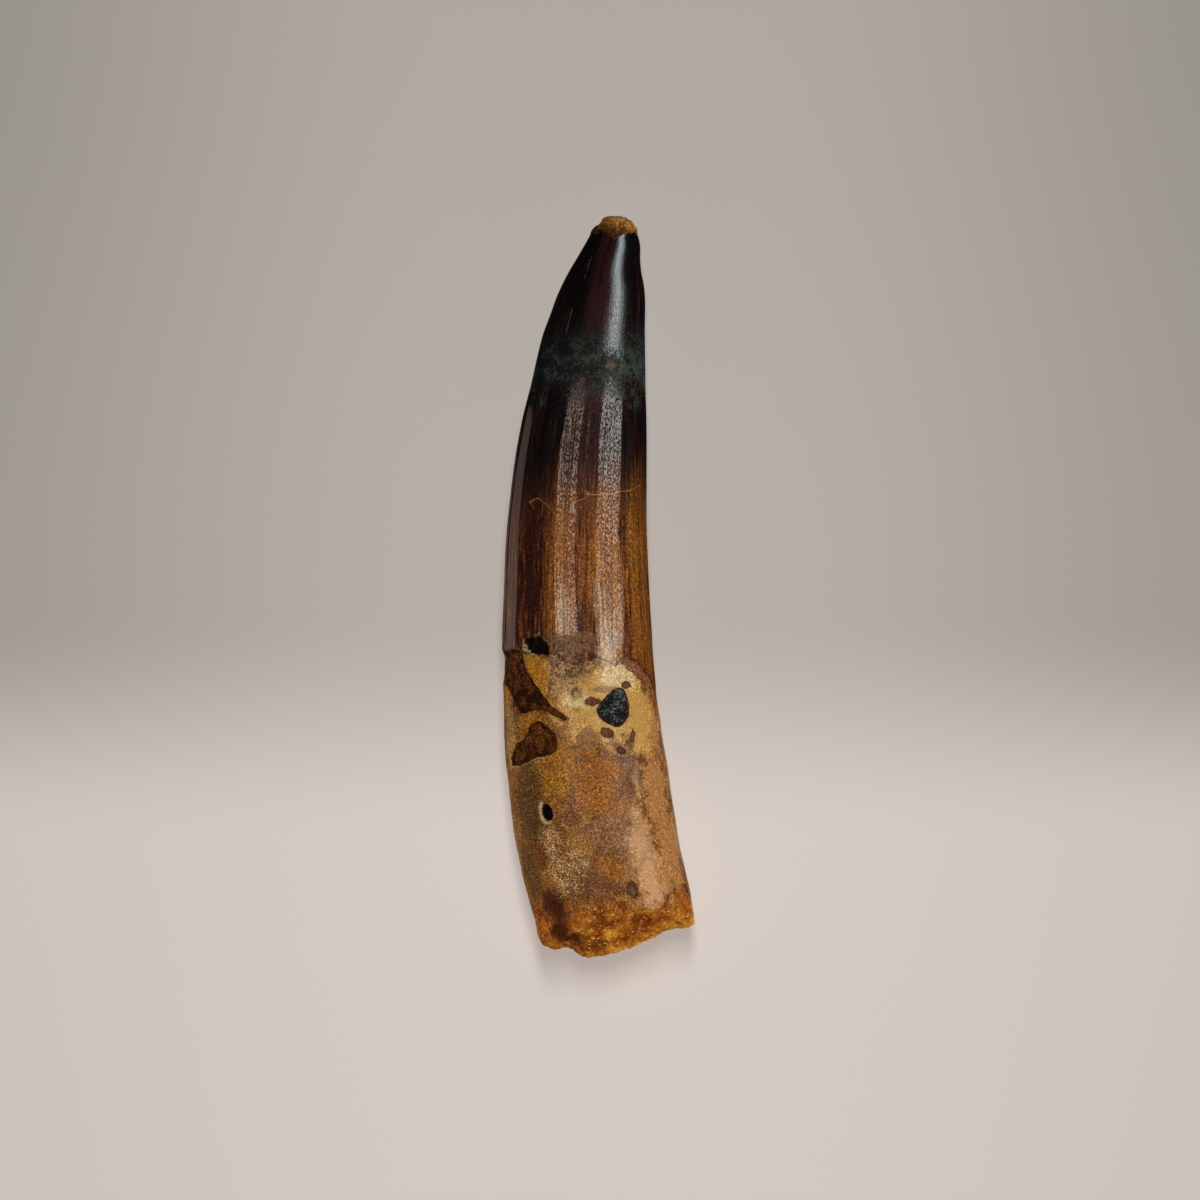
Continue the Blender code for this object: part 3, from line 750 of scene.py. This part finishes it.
# Painted shade: near-black for the inside of the deep hole and the gap
HOLE_SHADE_BLACK = (0.004, 0.002, 0.002)
LINE_BROWN = (0.04, 0.011, 0.004)
CRACK_TAN = (0.42, 0.2, 0.07)
SCRATCH_GREY = (0.2, 0.16, 0.14)
RIM_RED = (0.03, 0.006, 0.002)
RAW_BROWN = (0.16, 0.036, 0.003)
RAW_ORANGE = (0.38, 0.11, 0.008)
RAW_GOLD = (0.6, 0.26, 0.025)
RAW_PALE = (0.85, 0.6, 0.25)
TIP_DARK = (0.035, 0.008, 0.002)
TIP_OCHRE = (0.215, 0.075, 0.01)
TIP_BRIGHT = (0.55, 0.27, 0.07)
# Stains of the root, and one painted highlight, in the order in which they cover each other: name, colour,
# share of the colour, and the strengths of the stained place where the stain starts and where it is full
ROOT_STAINS = [
    ("pink", (0.415, 0.177, 0.053), 0.9, 0.15, 0.65),
    ("cream", (0.49, 0.27, 0.064), 1.0, 0.15, 0.65),
    ("pale", PALE_CREAM, 0.75, 0.15, 0.65),
    ("olive", (0.068, 0.026, 0.003), 0.9, 0.15, 0.65),
    ("buff", (0.29, 0.151, 0.039), 0.85, 0.15, 0.65),
    ("ochre", (0.27, 0.1, 0.003), 0.9, 0.15, 0.65),
    ("orange", (0.262, 0.081, 0.005), 0.85, 0.15, 0.65),
    ("dusty", (0.19, 0.085, 0.03), 0.75, 0.15, 0.65),
    # Painted highlight, not a stain: the pale streaks down the root's right side
    ("painted_sheen", (0.6, 0.33, 0.15), 0.6, 0.15, 1.0),
    ("plum", PLUM, 0.7, 0.3, 0.65),
    ("deep_red", (0.04, 0.006, 0.0015), 0.92, 0.1, 0.65),
]

# Where the colours change: heights from and to, or distances across from and to
CROWN_DARKENS = (62.5, 75.5)
SLATE_STARTS, SLATE_ENDS, SLATE_GLOSS_STARTS = (82.0, 86.0), (95.5, 89.5), (90.2, 88.6)
RUST_ENDS = (91.0, 89.0)
WEDGE_PALE_SIDE = (-8.6, -7.8)
PATCH_TAIL_ACROSS, PATCH_TAIL_HEIGHT = (-8.0, -6.0), (40.0, 37.0)
LOWER_PATCH_FOOT = (30.6, 30.0)
GAP_HEIGHT, GAP_PALE_SIDE = 45.6, (-9.4, -10.2)
RAW_STARTS, RAW_RIGHT = (9.0, 5.6), (9.0, 13.0)
TIP_STARTS, TIP_MIDDLE = (TIP_START + 0.15, TIP_START + 0.35), TIP_START + 1.1
TIP_DIP_ACROSS, TIP_DIP_WIDTH, TIP_DIP = 2.3, 1.8, 0.9

# The stone's own surface is dull. A clear coat makes the gloss.
TOOTH_SURFACE = {"IOR": 1.5, "Specular IOR Level": 0.05, "Coat Roughness": 0.08, "Coat IOR": 1.6}
CROWN_ROUGHNESS, ROOT_ROUGHNESS, HOLLOW_ROUGHNESS = 0.38, (0.6, 0.45), 0.7
# Heights of the bumps in millimetres
WRINKLE_BUMP, HAIR_BUMP, PORE_BUMP, CRUMB_BUMP = 0.028, 0.012, 0.06, 0.3


class ToothShader(Shader):
    """The tooth's colour so far, and the places and noises that the parts of its material share."""

    def __init__(self):
        super().__init__("fossil_tooth")
        self.rolled = self.attribute("rolled")
        self.across = self.split(self.place, 0)
        self.height = self.split(self.rolled, 2)
        self.on_crown = self.step(self.attribute("above_crown_line"), -0.08, 0.08)
        self.cloud = self.noise(self.place, 6.0, 6, roughness=0.62, seed=2.0)
        self.blotch = self.noise(self.place, 1.6, 5, roughness=0.7, seed=5.0)
        self.chunks = self.noise(self.place, 0.6, 4, roughness=0.7, seed=18.0)
        self.speck = self.noise(self.place, 0.29, 2, roughness=0.7, seed=8.0)
        self.dots = self.noise(self.place, 0.24, 4, roughness=0.7, seed=28.0)
        self.fray = self.add(self.swing(self.dots, 0.9), self.swing(self.blotch, 0.5))

    def paint(self, tint, *shares):
        """Lays a colour over the colour so far. Its share is the product of the shares."""
        self.colour = self.mix(self.times(*shares), self.colour, tint)

    def frayed(self, name, amount=1.0):
        """Distance from a named edge, so uneven that the edge frays."""
        return self.add(self.attribute(name), self.times(self.fray, amount))

    def leaning(self, height, slope):
        """Distance across, and this much more for each millimetre above a height."""
        return self.add(self.across, self.times(self.maths("SUBTRACT", self.height, height), slope))


def paint_root(s):
    """Golden-brown root with soft stains and a painted highlight, covered all over in fine dark and light
    grain.
    """
    clouded = s.step(s.add(s.cloud, s.swing(s.blotch, 0.6)), 0.38, 0.6)
    s.colour = s.mix(clouded, ROOT_BROWN, ROOT_GOLD)
    for name, tint, amount, low, high in ROOT_STAINS:
        strength = s.attribute(name)
        uneven = s.add(strength, s.swing(s.blotch, 2.0), s.swing(s.cloud, 1.4))
        s.paint(tint, s.step(uneven, low, high), s.step(strength, 0.0, 0.25), amount)
    hazy = s.step(s.add(s.attribute("speckled"), s.swing(s.blotch, 3.0)), 0.2, 1.1)
    flecks = s.step(s.noise(s.place, 0.19, 2, roughness=0.6, seed=40.0), 0.46, 0.6)
    s.paint(HAZE, flecks, s.without(s.attribute("deep_red")), s.add(0.08, s.times(hazy, 0.75)))
    calm = s.largest(s.times(s.attribute("pink"), 0.6), s.attribute("painted_sheen"), s.attribute("cream"))
    s.colour = s.grained(s.colour, s.speck, s.add(8.0, s.times(calm, -5.5)))


def brown_enamel(s, broad, streak, thread, grain):
    """The lower crown: brown enamel with amber and tan lanes along it; the tan is paler worn enamel with a
    painted highlight.
    """
    amber = s.add(s.attribute("amber"), s.swing(broad, 1.2), s.swing(streak, 2.2), s.swing(thread, 1.8))
    brown = s.mix(s.step(amber, -0.1, 0.5), ENAMEL_DARK_BROWN, ENAMEL_BROWN)
    brown = s.mix(s.step(amber, 0.4, 1.1), brown, ENAMEL_AMBER)
    # Tan lanes: worn enamel, partly a painted highlight on the gloss bands
    tan = s.step(s.add(s.attribute("tan"), s.swing(thread, 1.6)), 0.2, 0.9)
    brown = s.mix(s.times(tan, 0.5), brown, ENAMEL_TAN_AND_HIGHLIGHT)
    return s.grained(brown, grain, 8.0)


def paint_crown(s):
    """Brown enamel below, near-black above, with a slate band. Gives where the slate is dull."""
    broad = s.noise(s.rolled, 2.4, 3, stretch=9, seed=1.0)
    streak = s.noise(s.rolled, 0.55, 3, stretch=18, seed=4.0)
    thread = s.noise(s.rolled, 0.24, 2, stretch=12, seed=6.0)
    blotch = s.noise(s.place, 2.6, 6, roughness=0.66, seed=9.0)
    grain = s.noise(s.place, 0.34, 3, roughness=0.75, seed=12.0)
    sideways = s.maths("DIVIDE", s.split(s.rolled, 0), ROLL_RADIUS)

    uneven = s.add(s.swing(streak, 26.0), s.swing(thread, 12.0), s.swing(broad, 14.0))
    lowered = s.add(s.height, s.times(sideways, -0.5), uneven)
    maroon = s.add(s.attribute("maroon"), s.swing(thread, 3.0), s.swing(streak, 2.0), s.swing(broad, 4.0))
    dark = s.mix(s.step(maroon, 0.1, 1.1), ENAMEL_BLACK, ENAMEL_MAROON)
    colour = s.mix(s.step(lowered, *CROWN_DARKENS), brown_enamel(s, broad, streak, thread, grain), dark)

    edge = s.add(s.height, s.swing(blotch, 12.0), s.swing(grain, 9.0))
    slate_there = s.times(s.step(edge, *SLATE_STARTS), s.step(edge, *SLATE_ENDS))
    paler = s.step(s.add(grain, s.swing(blotch, 1.4), s.times(sideways, 0.1)), 0.44, 0.74)
    slate = s.mix(paler, SLATE, SLATE_PALE)
    rust = s.step(s.add(s.swing(blotch, -1.0), s.swing(grain, 0.5), s.times(sideways, 0.05)), 0.09, 0.26)
    slate = s.mix(s.times(rust, s.step(edge, *RUST_ENDS), 0.75), slate, SLATE_RUST)
    colour = s.mix(s.times(slate_there, 0.92), colour, slate)
    scratch = s.band(s.add(s.attribute("scratch"), s.swing(grain, 0.2)), 0.0, 0.1)
    colour = s.mix(s.times(scratch, s.step(grain, 0.42, 0.55), 0.55), colour, SCRATCH_GREY)
    s.paint(colour, s.on_crown)
    return s.times(slate_there, s.step(edge, *SLATE_GLOSS_STARTS))


def paint_grey_stipple(s):
    """Grey-brown stippling on both sides of the crown line. Gives how grey each place is."""
    greyness = s.attribute("grey")
    grey = s.times(s.step(s.add(greyness, s.swing(s.blotch, 2.2)), 0.15, 0.8), s.step(greyness, 0.0, 0.3))
    stipple = s.noise(s.place, 0.34, 3, roughness=0.75, seed=33.0)
    dotted = s.step(s.add(stipple, s.swing(s.blotch, 0.6)), 0.46, 0.56)
    between_dots = s.mix(s.step(s.attribute("above_crown_line"), -0.6, 0.8), GREY_BROWN, GREY_UMBER)
    s.paint(s.mix(dotted, GREY_DARK, between_dots), grey, 0.9)
    return grey


def paint_crown_line(s, grey):
    """A brown crescent, the dark line where the crown ends and a golden wedge. Gives the crescent."""
    on_root = s.step(s.attribute("above_crown_line"), 0.1, -0.1)
    crescent = s.times(s.step(s.frayed("crescent", 2.0), 0.45, -0.3), on_root, 0.92)
    s.paint(s.grained(CRESCENT_BROWN, s.speck, 7.0), crescent)
    s.paint(LINE_BROWN, s.band(s.frayed("crescent"), 0.0, 0.2), on_root, 0.8)
    s.paint(LINE_BROWN, s.band(s.frayed("above_crown_line"), 0.0, 0.3), s.step(grey, 1.6, 0.2))
    wedge = s.frayed("wedge")
    s.paint(s.grained(WEDGE_GOLD, s.speck, 6.5), s.step(wedge, 0.12, -0.12))
    pale_side = s.step(s.across, *WEDGE_PALE_SIDE)
    s.paint(PALE_CREAM, s.band(wedge, 0.0, 0.16), pale_side, s.step(s.dots, 0.45, 0.6), 0.7)
    return crescent


def paint_patches(s):
    """Two dark patches with a red rim, and a pale line under the lower one. Gives the patches."""
    upper, lower = s.attribute("upper_patch"), s.attribute("lower_patch")
    patches = s.add(s.maths("MINIMUM", upper, lower), s.fray)
    inside = s.step(patches, 0.1, -0.1)
    tail = s.times(s.step(s.across, *PATCH_TAIL_ACROSS), s.step(s.height, *PATCH_TAIL_HEIGHT), 0.3)
    in_lower = s.times(s.step(lower, 0.0, -1.2), 0.12)
    worn = s.add(s.swing(s.blotch, 2.2), s.swing(s.dots, 0.8), in_lower, tail)
    floor = s.mix(s.step(worn, -0.12, 0.3), PATCH_DARK, PATCH_BROWN)
    specks = s.step(s.add(s.dots, s.swing(s.blotch, 0.4)), 0.6, 0.7)
    floor = s.mix(s.times(specks, 0.5), floor, GREY_BROWN)
    s.paint(s.grained(floor, s.speck, 7.0), inside)
    s.paint(RIM_RED, s.band(patches, -0.06, 0.22), 0.85)
    under_edge = s.times(s.band(s.frayed("lower_patch"), 0.2, 0.14), s.step(s.height, *LOWER_PATCH_FOOT))
    s.paint(PALE_CREAM, under_edge, s.step(s.dots, 0.44, 0.56))
    return inside


def paint_pits(s):
    """Small red pits with a darker rim, and one shallow plum-coloured pit. Gives the small pits."""
    pits = s.add(s.attribute("pits"), s.swing(s.dots, 0.5))
    s.paint(s.mix(s.step(s.dots, 0.4, 0.58), PIT_RED, PIT_PALE), s.step(pits, 0.08, -0.08))
    s.paint(RIM_RED, s.band(pits, 0.02, 0.16), 0.9)
    shaded = s.mix(s.step(s.dots, 0.44, 0.62), LINE_BROWN, PLUM)
    s.paint(shaded, s.step(s.frayed("shallow"), 0.15, -0.2), 0.9)
    return s.step(pits, 0.1, -0.1)


def paint_holes(s):
    """The deep hole and the gap: painted shade, near-black, inside them, with a pale crumbly rim on the
    left. Gives the two.
    """
    beside_hole = s.step(s.leaning(DEEP_HOLE[1], 0.5), DEEP_HOLE[0] + 0.6, DEEP_HOLE[0])
    s.paint(PALE_CREAM, s.band(s.frayed("hole", 2.0), 0.2, 0.36), beside_hole, s.step(s.dots, 0.36, 0.5))
    beside_gap = s.step(s.leaning(GAP_HEIGHT, 0.8), *GAP_PALE_SIDE)
    s.paint(PALE_CREAM, s.band(s.frayed("gap"), 0.16, 0.34), beside_gap, s.step(s.dots, 0.44, 0.54))
    holes = s.add(s.maths("MINIMUM", s.attribute("gap"), s.attribute("hole")), s.swing(s.dots, 0.4))
    # Painted shade fills the hole and the gap with near-black
    s.paint(HOLE_SHADE_BLACK, s.step(holes, 0.08, -0.1))
    return s.step(holes, 0.3, 0.0)


def paint_pebble(s):
    """The middle hollow: a red rim round black and grey mineral. Gives the hollow."""
    pebble = s.add(s.attribute("pebble"), s.swing(s.dots, 0.5))
    s.paint(PIT_RED, s.step(pebble, 0.26, 0.14))
    mineral = s.add(s.noise(s.place, 0.32, 4, roughness=0.75, seed=15.0), s.swing(s.blotch, 0.9))
    s.paint(s.mix(s.step(mineral, 0.5, 0.7), PEBBLE_BLACK, PEBBLE_GREY), s.step(pebble, 0.02, -0.1))
    return s.step(pebble, 0.2, -0.1)


def paint_cracks(s):
    """Hairline cracks across the crown."""
    crack = s.add(s.attribute("crack"), s.swing(s.speck, 0.3))
    s.paint(CRACK_TAN, s.band(crack, 0.0, 0.1), 0.65)


def paint_break(s):
    """Raw orange and golden stone at the root's broken end. Gives where it is."""
    clods = s.noise(s.place, 2.6, 3, seed=31.0)
    lower_right = s.times(s.step(s.across, *RAW_RIGHT), -3.0)
    lowest = s.add(s.height, s.swing(s.blotch, 8.0), s.swing(clods, 14.0), lower_right)
    crumbly = s.largest(s.attribute("broken"), s.step(lowest, *RAW_STARTS))
    raw_share = s.add(s.swing(s.chunks, 1.0), s.swing(clods, 2.2), s.times(s.attribute("bright_rim"), 0.42))
    raw = s.mix(s.step(raw_share, -0.3, 0.05), RAW_BROWN, RAW_ORANGE)
    raw = s.mix(s.step(raw_share, 0.05, 0.4), raw, RAW_GOLD)
    pale = s.step(s.add(s.chunks, s.swing(s.speck, 0.6)), 0.62, 0.74)
    raw = s.mix(s.times(pale, 0.7), raw, RAW_PALE)
    red = s.add(s.attribute("deep_red"), s.swing(s.blotch, 2.0), s.swing(s.speck, 1.2))
    s.paint(s.grained(raw, s.speck, 5.0), crumbly, s.without(s.step(red, 0.15, 0.95)))
    return crumbly


def paint_tip(s):
    """Crumbly ochre stone at the worn tip, lower in the middle, with painted shade low on its left. Gives
    where it is.
    """
    dip = s.times(s.band(s.across, TIP_DIP_ACROSS, TIP_DIP_WIDTH), TIP_DIP)
    edge = s.add(s.height, s.swing(s.noise(s.place, 1.2, 3, seed=22.0), 2.0), dip)
    at_tip = s.step(edge, *TIP_STARTS)
    # Painted light and shade: the cap is darker low on its left and lighter towards its top and right
    painted_light_slope = s.times(s.maths("SUBTRACT", s.height, TIP_MIDDLE), 0.1)
    painted_light_slope = s.add(painted_light_slope, s.times(s.across, 0.03), -0.08)
    crumb = s.add(s.noise(s.place, 0.27, 5, roughness=0.8, seed=36.0), painted_light_slope)
    tip = s.mix(s.step(crumb, 0.4, 0.54), TIP_DARK, TIP_OCHRE)
    tip = s.mix(s.step(s.add(crumb, s.swing(s.blotch, 0.8)), 0.52, 0.7), tip, TIP_BRIGHT)
    s.paint(s.grained(tip, s.speck, 6.5), at_tip)
    return at_tip


def add_gloss(s, wrinkle, wrinkled, hollow, slate_share, grey):
    """A clear coat where the stone is polished, broken up by fine wrinkles. Hollows are dull."""
    for name, value in TOOTH_SURFACE.items():
        s.surface.inputs[name].default_value = value
    rough = s.blend(s.on_crown, s.blend(s.step(s.speck, 0.4, 0.6), *ROOT_ROUGHNESS), CROWN_ROUGHNESS)
    rough = s.blend(s.largest(slate_share, hollow), rough, HOLLOW_ROUGHNESS)
    s.feed(s.surface.inputs["Roughness"], rough)
    polished = s.attribute("polish")
    smooth = s.blend(s.on_crown, polished, 0.85)
    ridged = s.times(s.step(s.add(wrinkle, s.times(polished, 0.14)), 0.53, 0.63), 0.82)
    coat = s.times(s.blend(wrinkled, smooth, ridged), s.without(hollow))
    coat = s.times(coat, s.without(s.times(slate_share, 0.9)), s.step(grey, 1.3, 0.0))
    s.feed(s.surface.inputs["Coat Weight"], coat)


def add_bumps(s, wrinkle, wrinkled, raw):
    """The finest relief: wrinkles and hair-thin lines on the crown, pores and crumbs on the stone."""
    height = s.add(
        s.times(wrinkle, wrinkled, WRINKLE_BUMP),
        s.times(s.noise(s.rolled, 0.3, 2, stretch=14, seed=27.0), s.on_crown, HAIR_BUMP),
        s.times(s.speck, s.without(s.on_crown), PORE_BUMP),
        s.times(s.chunks, raw, CRUMB_BUMP),
    )
    bump = s.node("Bump", {"Distance": MM, "Height": height})
    s.feed(s.surface.inputs["Normal"], bump.outputs["Normal"])
    s.feed(s.surface.inputs["Coat Normal"], bump.outputs["Normal"])


def tooth_material():
    """Root and crown, then the marks from the crown line to both ends, then gloss and bumps."""
    s = ToothShader()
    paint_root(s)
    slate_share = paint_crown(s)
    grey = paint_grey_stipple(s)
    sunken = [paint_crown_line(s, grey)]
    sunken += [paint(s) for paint in (paint_patches, paint_pits, paint_holes, paint_pebble)]
    paint_cracks(s)
    raw = s.largest(paint_break(s), paint_tip(s))
    s.feed(s.surface.inputs["Base Color"], s.colour)
    wrinkle = s.noise(s.rolled, 0.19, 2, stretch=1.8, roughness=0.6, seed=25.0)
    wrinkled = s.times(s.attribute("wrinkles"), s.on_crown)
    add_gloss(s, wrinkle, wrinkled, s.largest(*sunken, raw), slate_share, grey)
    add_bumps(s, wrinkle, wrinkled, raw)
    return s.material


# Painted light falloff on the floor: its brightness by distance along it, and how it darkens towards the
# sides, in millimetres
FLOOR_NEAR = (0.65, 0.591, 0.545)
FLOOR_FAR = (0.453, 0.413, 0.377)
FLOOR_TURN = (-38.0, -3.0)
FLOOR_TOP = (0.0, 100.0)
FLOOR_SIDES = (20.0, 110.0)
# The floor's own glow: painted light, not a lamp, that thins the shadows on it
FLOOR_GLOW = 0.62


def floor_material():
    """Pale warm grey with painted light falloff, darker past the middle and towards the sides. Part of it
    glows by itself, a painted light that thins its shadows.
    """
    s = Shader("floor")
    across, along = s.split(s.place, 0), s.split(s.place, 1)
    far = s.step(along, *FLOOR_TURN)
    colour = s.mix(far, FLOOR_NEAR, FLOOR_FAR)
    # Painted light falloff: darker towards the sides and past the middle
    aside = s.times(s.step(s.maths("ABSOLUTE", across), *FLOOR_SIDES), s.add(0.08, s.times(far, 0.18)))
    painted_falloff = s.add(aside, s.times(s.step(along, *FLOOR_TOP), 0.09))
    colour = s.mix(painted_falloff, colour, (0.0, 0.0, 0.0))
    s.feed(s.surface.inputs["Base Color"], colour)
    s.feed(s.surface.inputs["Emission Color"], colour)
    s.surface.inputs["Emission Strength"].default_value = FLOOR_GLOW
    s.surface.inputs["Roughness"].default_value = 0.9
    s.surface.inputs["Specular IOR Level"].default_value = 0.0
    return s.material


# Lights are in metres and degrees.
# Softboxes seen only in the gloss: name, degrees right of straight up, spread, from and to in Y,
# brightness, colour
GLOSS_PANELS = [
    ("gloss_right_tip", 40, 25, 0.16, 0.8, 8.2, (0.88, 0.98, 1.0)),
    ("gloss_right", 39, 29, -0.25, 0.16, 8.0, (1.0, 0.82, 0.68)),
    ("gloss_left", -17, 25, -0.2, 0.24, 6.1, (1.0, 0.8, 0.66)),
]
PANEL_DISTANCE = 0.6
# A second, narrower panel in front of each makes its middle brighter than its edges
PANEL_PARTS = [("edge", PANEL_DISTANCE, 1.0), ("middle", 0.98 * PANEL_DISTANCE, 0.6)]
# Bright floor seen in the gloss of the sides: name, place, turn, size, brightness
FLOOR_GLEAMS = [
    ("gloss_floor_left", (-0.19, -0.11, 0.001), (180, 0, 0), (0.34, 0.28), 0.35),
    ("gloss_floor_near", (-0.075, -0.11, 0.0012), (180, 0, 0), (0.09, 0.28), 0.35),
    ("gloss_rim", (0.0155, -0.035, 0.001), (180, 0, 9.2), (0.006, 0.035), 0.8),
]
FLOOR_GLEAM_COLOUR = (1.0, 0.75, 0.62)
# Soft lights for the tooth alone, and the floor's own: name, place, turn, size, brightness
TOOTH_LIGHTS = [
    ("soft_top", (0, 0.2, 0.9), (-12.5, 0, 0), (0.6, 0.6), 3.1),
    ("soft_right", (0.65, 0, 0.4), (0, 58, 0), (0.5, 0.6), 3.1),
    ("soft_left", (-0.65, 0, 0.4), (0, -58, 0), (0.5, 0.6), 1.7),
    ("soft_front", (0, -0.65, 0.35), (62, 0, 0), (0.6, 0.5), 2.0),
    ("low_right", (0.7, -0.03, 0.06), (0, 87, 0), (0.1, 0.4), 5.3),
    ("low_left", (-0.7, -0.03, 0.06), (0, -87, 0), (0.1, 0.4), 3.0),
]
FLOOR_LIGHTS = [("floor_light", (0.015, 0.27, 0.95), (-15.9, 0, 0), (0.15, 0.4), 21.5)]


def area_light(name, place, turn, size, radiance, colour=(1, 1, 1), glossy=True, diffuse=True):
    """A rectangular light of this brightness; its second size lies along the tooth before it is turned."""
    data = bpy.data.lights.new(name, "AREA")
    data.shape = "RECTANGLE"
    data.size, data.size_y = size
    data.energy = radiance * math.pi * size[0] * size[1]
    data.color = colour
    light = bpy.data.objects.new(name, data)
    light.location = place
    light.rotation_euler = [math.radians(degrees) for degrees in turn]
    light.visible_camera = False
    light.visible_glossy = glossy
    light.visible_diffuse = diffuse
    bpy.context.scene.collection.objects.link(light)
    return light


def gloss_panel(name, side, spread, low, high, radiance, colour):
    """A softbox seen only in the gloss, made of its parts."""
    turn = math.radians(side)
    for part, away, share in PANEL_PARTS:
        place = (away * math.sin(turn), (low + high) / 2, away * math.cos(turn))
        width = 2 * away * math.tan(math.radians(spread * share / 2))
        size = (width, high - low)
        area_light(f"{name}_{part}", place, (0, side, 0), size, radiance / 2, colour, diffuse=False)


def only_for(name, thing, lights):
    """These lights light nothing but this thing."""
    lit = bpy.data.collections.new(name)
    lit.objects.link(thing)
    for light in lights:
        light.light_linking.receiver_collection = lit


def make_lights(tooth, floor):
    for panel in GLOSS_PANELS:
        gloss_panel(*panel)
    for gleam in FLOOR_GLEAMS:
        area_light(*gleam, FLOOR_GLEAM_COLOUR, diffuse=False)
    only_for("lit_tooth", tooth, [area_light(*light, glossy=False) for light in TOOTH_LIGHTS])
    only_for("lit_floor", floor, [area_light(*light, glossy=False) for light in FLOOR_LIGHTS])


def make_camera():
    """Looks straight down, with the tooth where the photograph has it."""
    data = bpy.data.cameras.new("camera")
    data.lens, data.sensor_width = CAMERA_LENS, SENSOR
    data.clip_start = 0.01
    camera = bpy.data.objects.new("camera", data)
    mid_height = (ROOT_END_PIXEL - PHOTO_WIDTH / 2) * PHOTO_PIXEL
    distance = CAMERA_LENS / SENSOR * PHOTO_PIXEL * PHOTO_WIDTH
    camera.location = (Vector((0.0, mid_height, distance + PIXEL_PLANE)) - Vector(MIDDLE)) * MM
    bpy.context.scene.collection.objects.link(camera)
    bpy.context.scene.camera = camera


WORLD_LIGHT = (0.008, 0.008, 0.008, 1)
WORLD_SEEN = (0.42, 0.38, 0.35, 1)


def make_world():
    """Nearly dark to everything but the camera, which sees the colour of the backdrop."""
    world = bpy.data.worlds.new("studio")
    world.use_nodes = True
    tree = world.node_tree
    path = tree.nodes.new("ShaderNodeLightPath")
    mix = tree.nodes.new("ShaderNodeMix")
    mix.data_type = "RGBA"
    mix.inputs["A"].default_value = WORLD_LIGHT
    mix.inputs["B"].default_value = WORLD_SEEN
    tree.links.new(path.outputs["Is Camera Ray"], mix.inputs["Factor"])
    tree.links.new(mix.outputs["Result"], tree.nodes["Background"].inputs["Color"])
    bpy.context.scene.world = world


make_camera()
make_world()

bpy.ops.mesh.primitive_plane_add(size=4.0)
floor = bpy.context.object
floor.name = "floor"
floor.visible_glossy = False
floor.data.materials.append(floor_material())

tooth = make_tooth()
tooth.data.materials.append(tooth_material())
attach(tooth, "root")
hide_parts("fossil_tooth")
make_lights(tooth, floor)
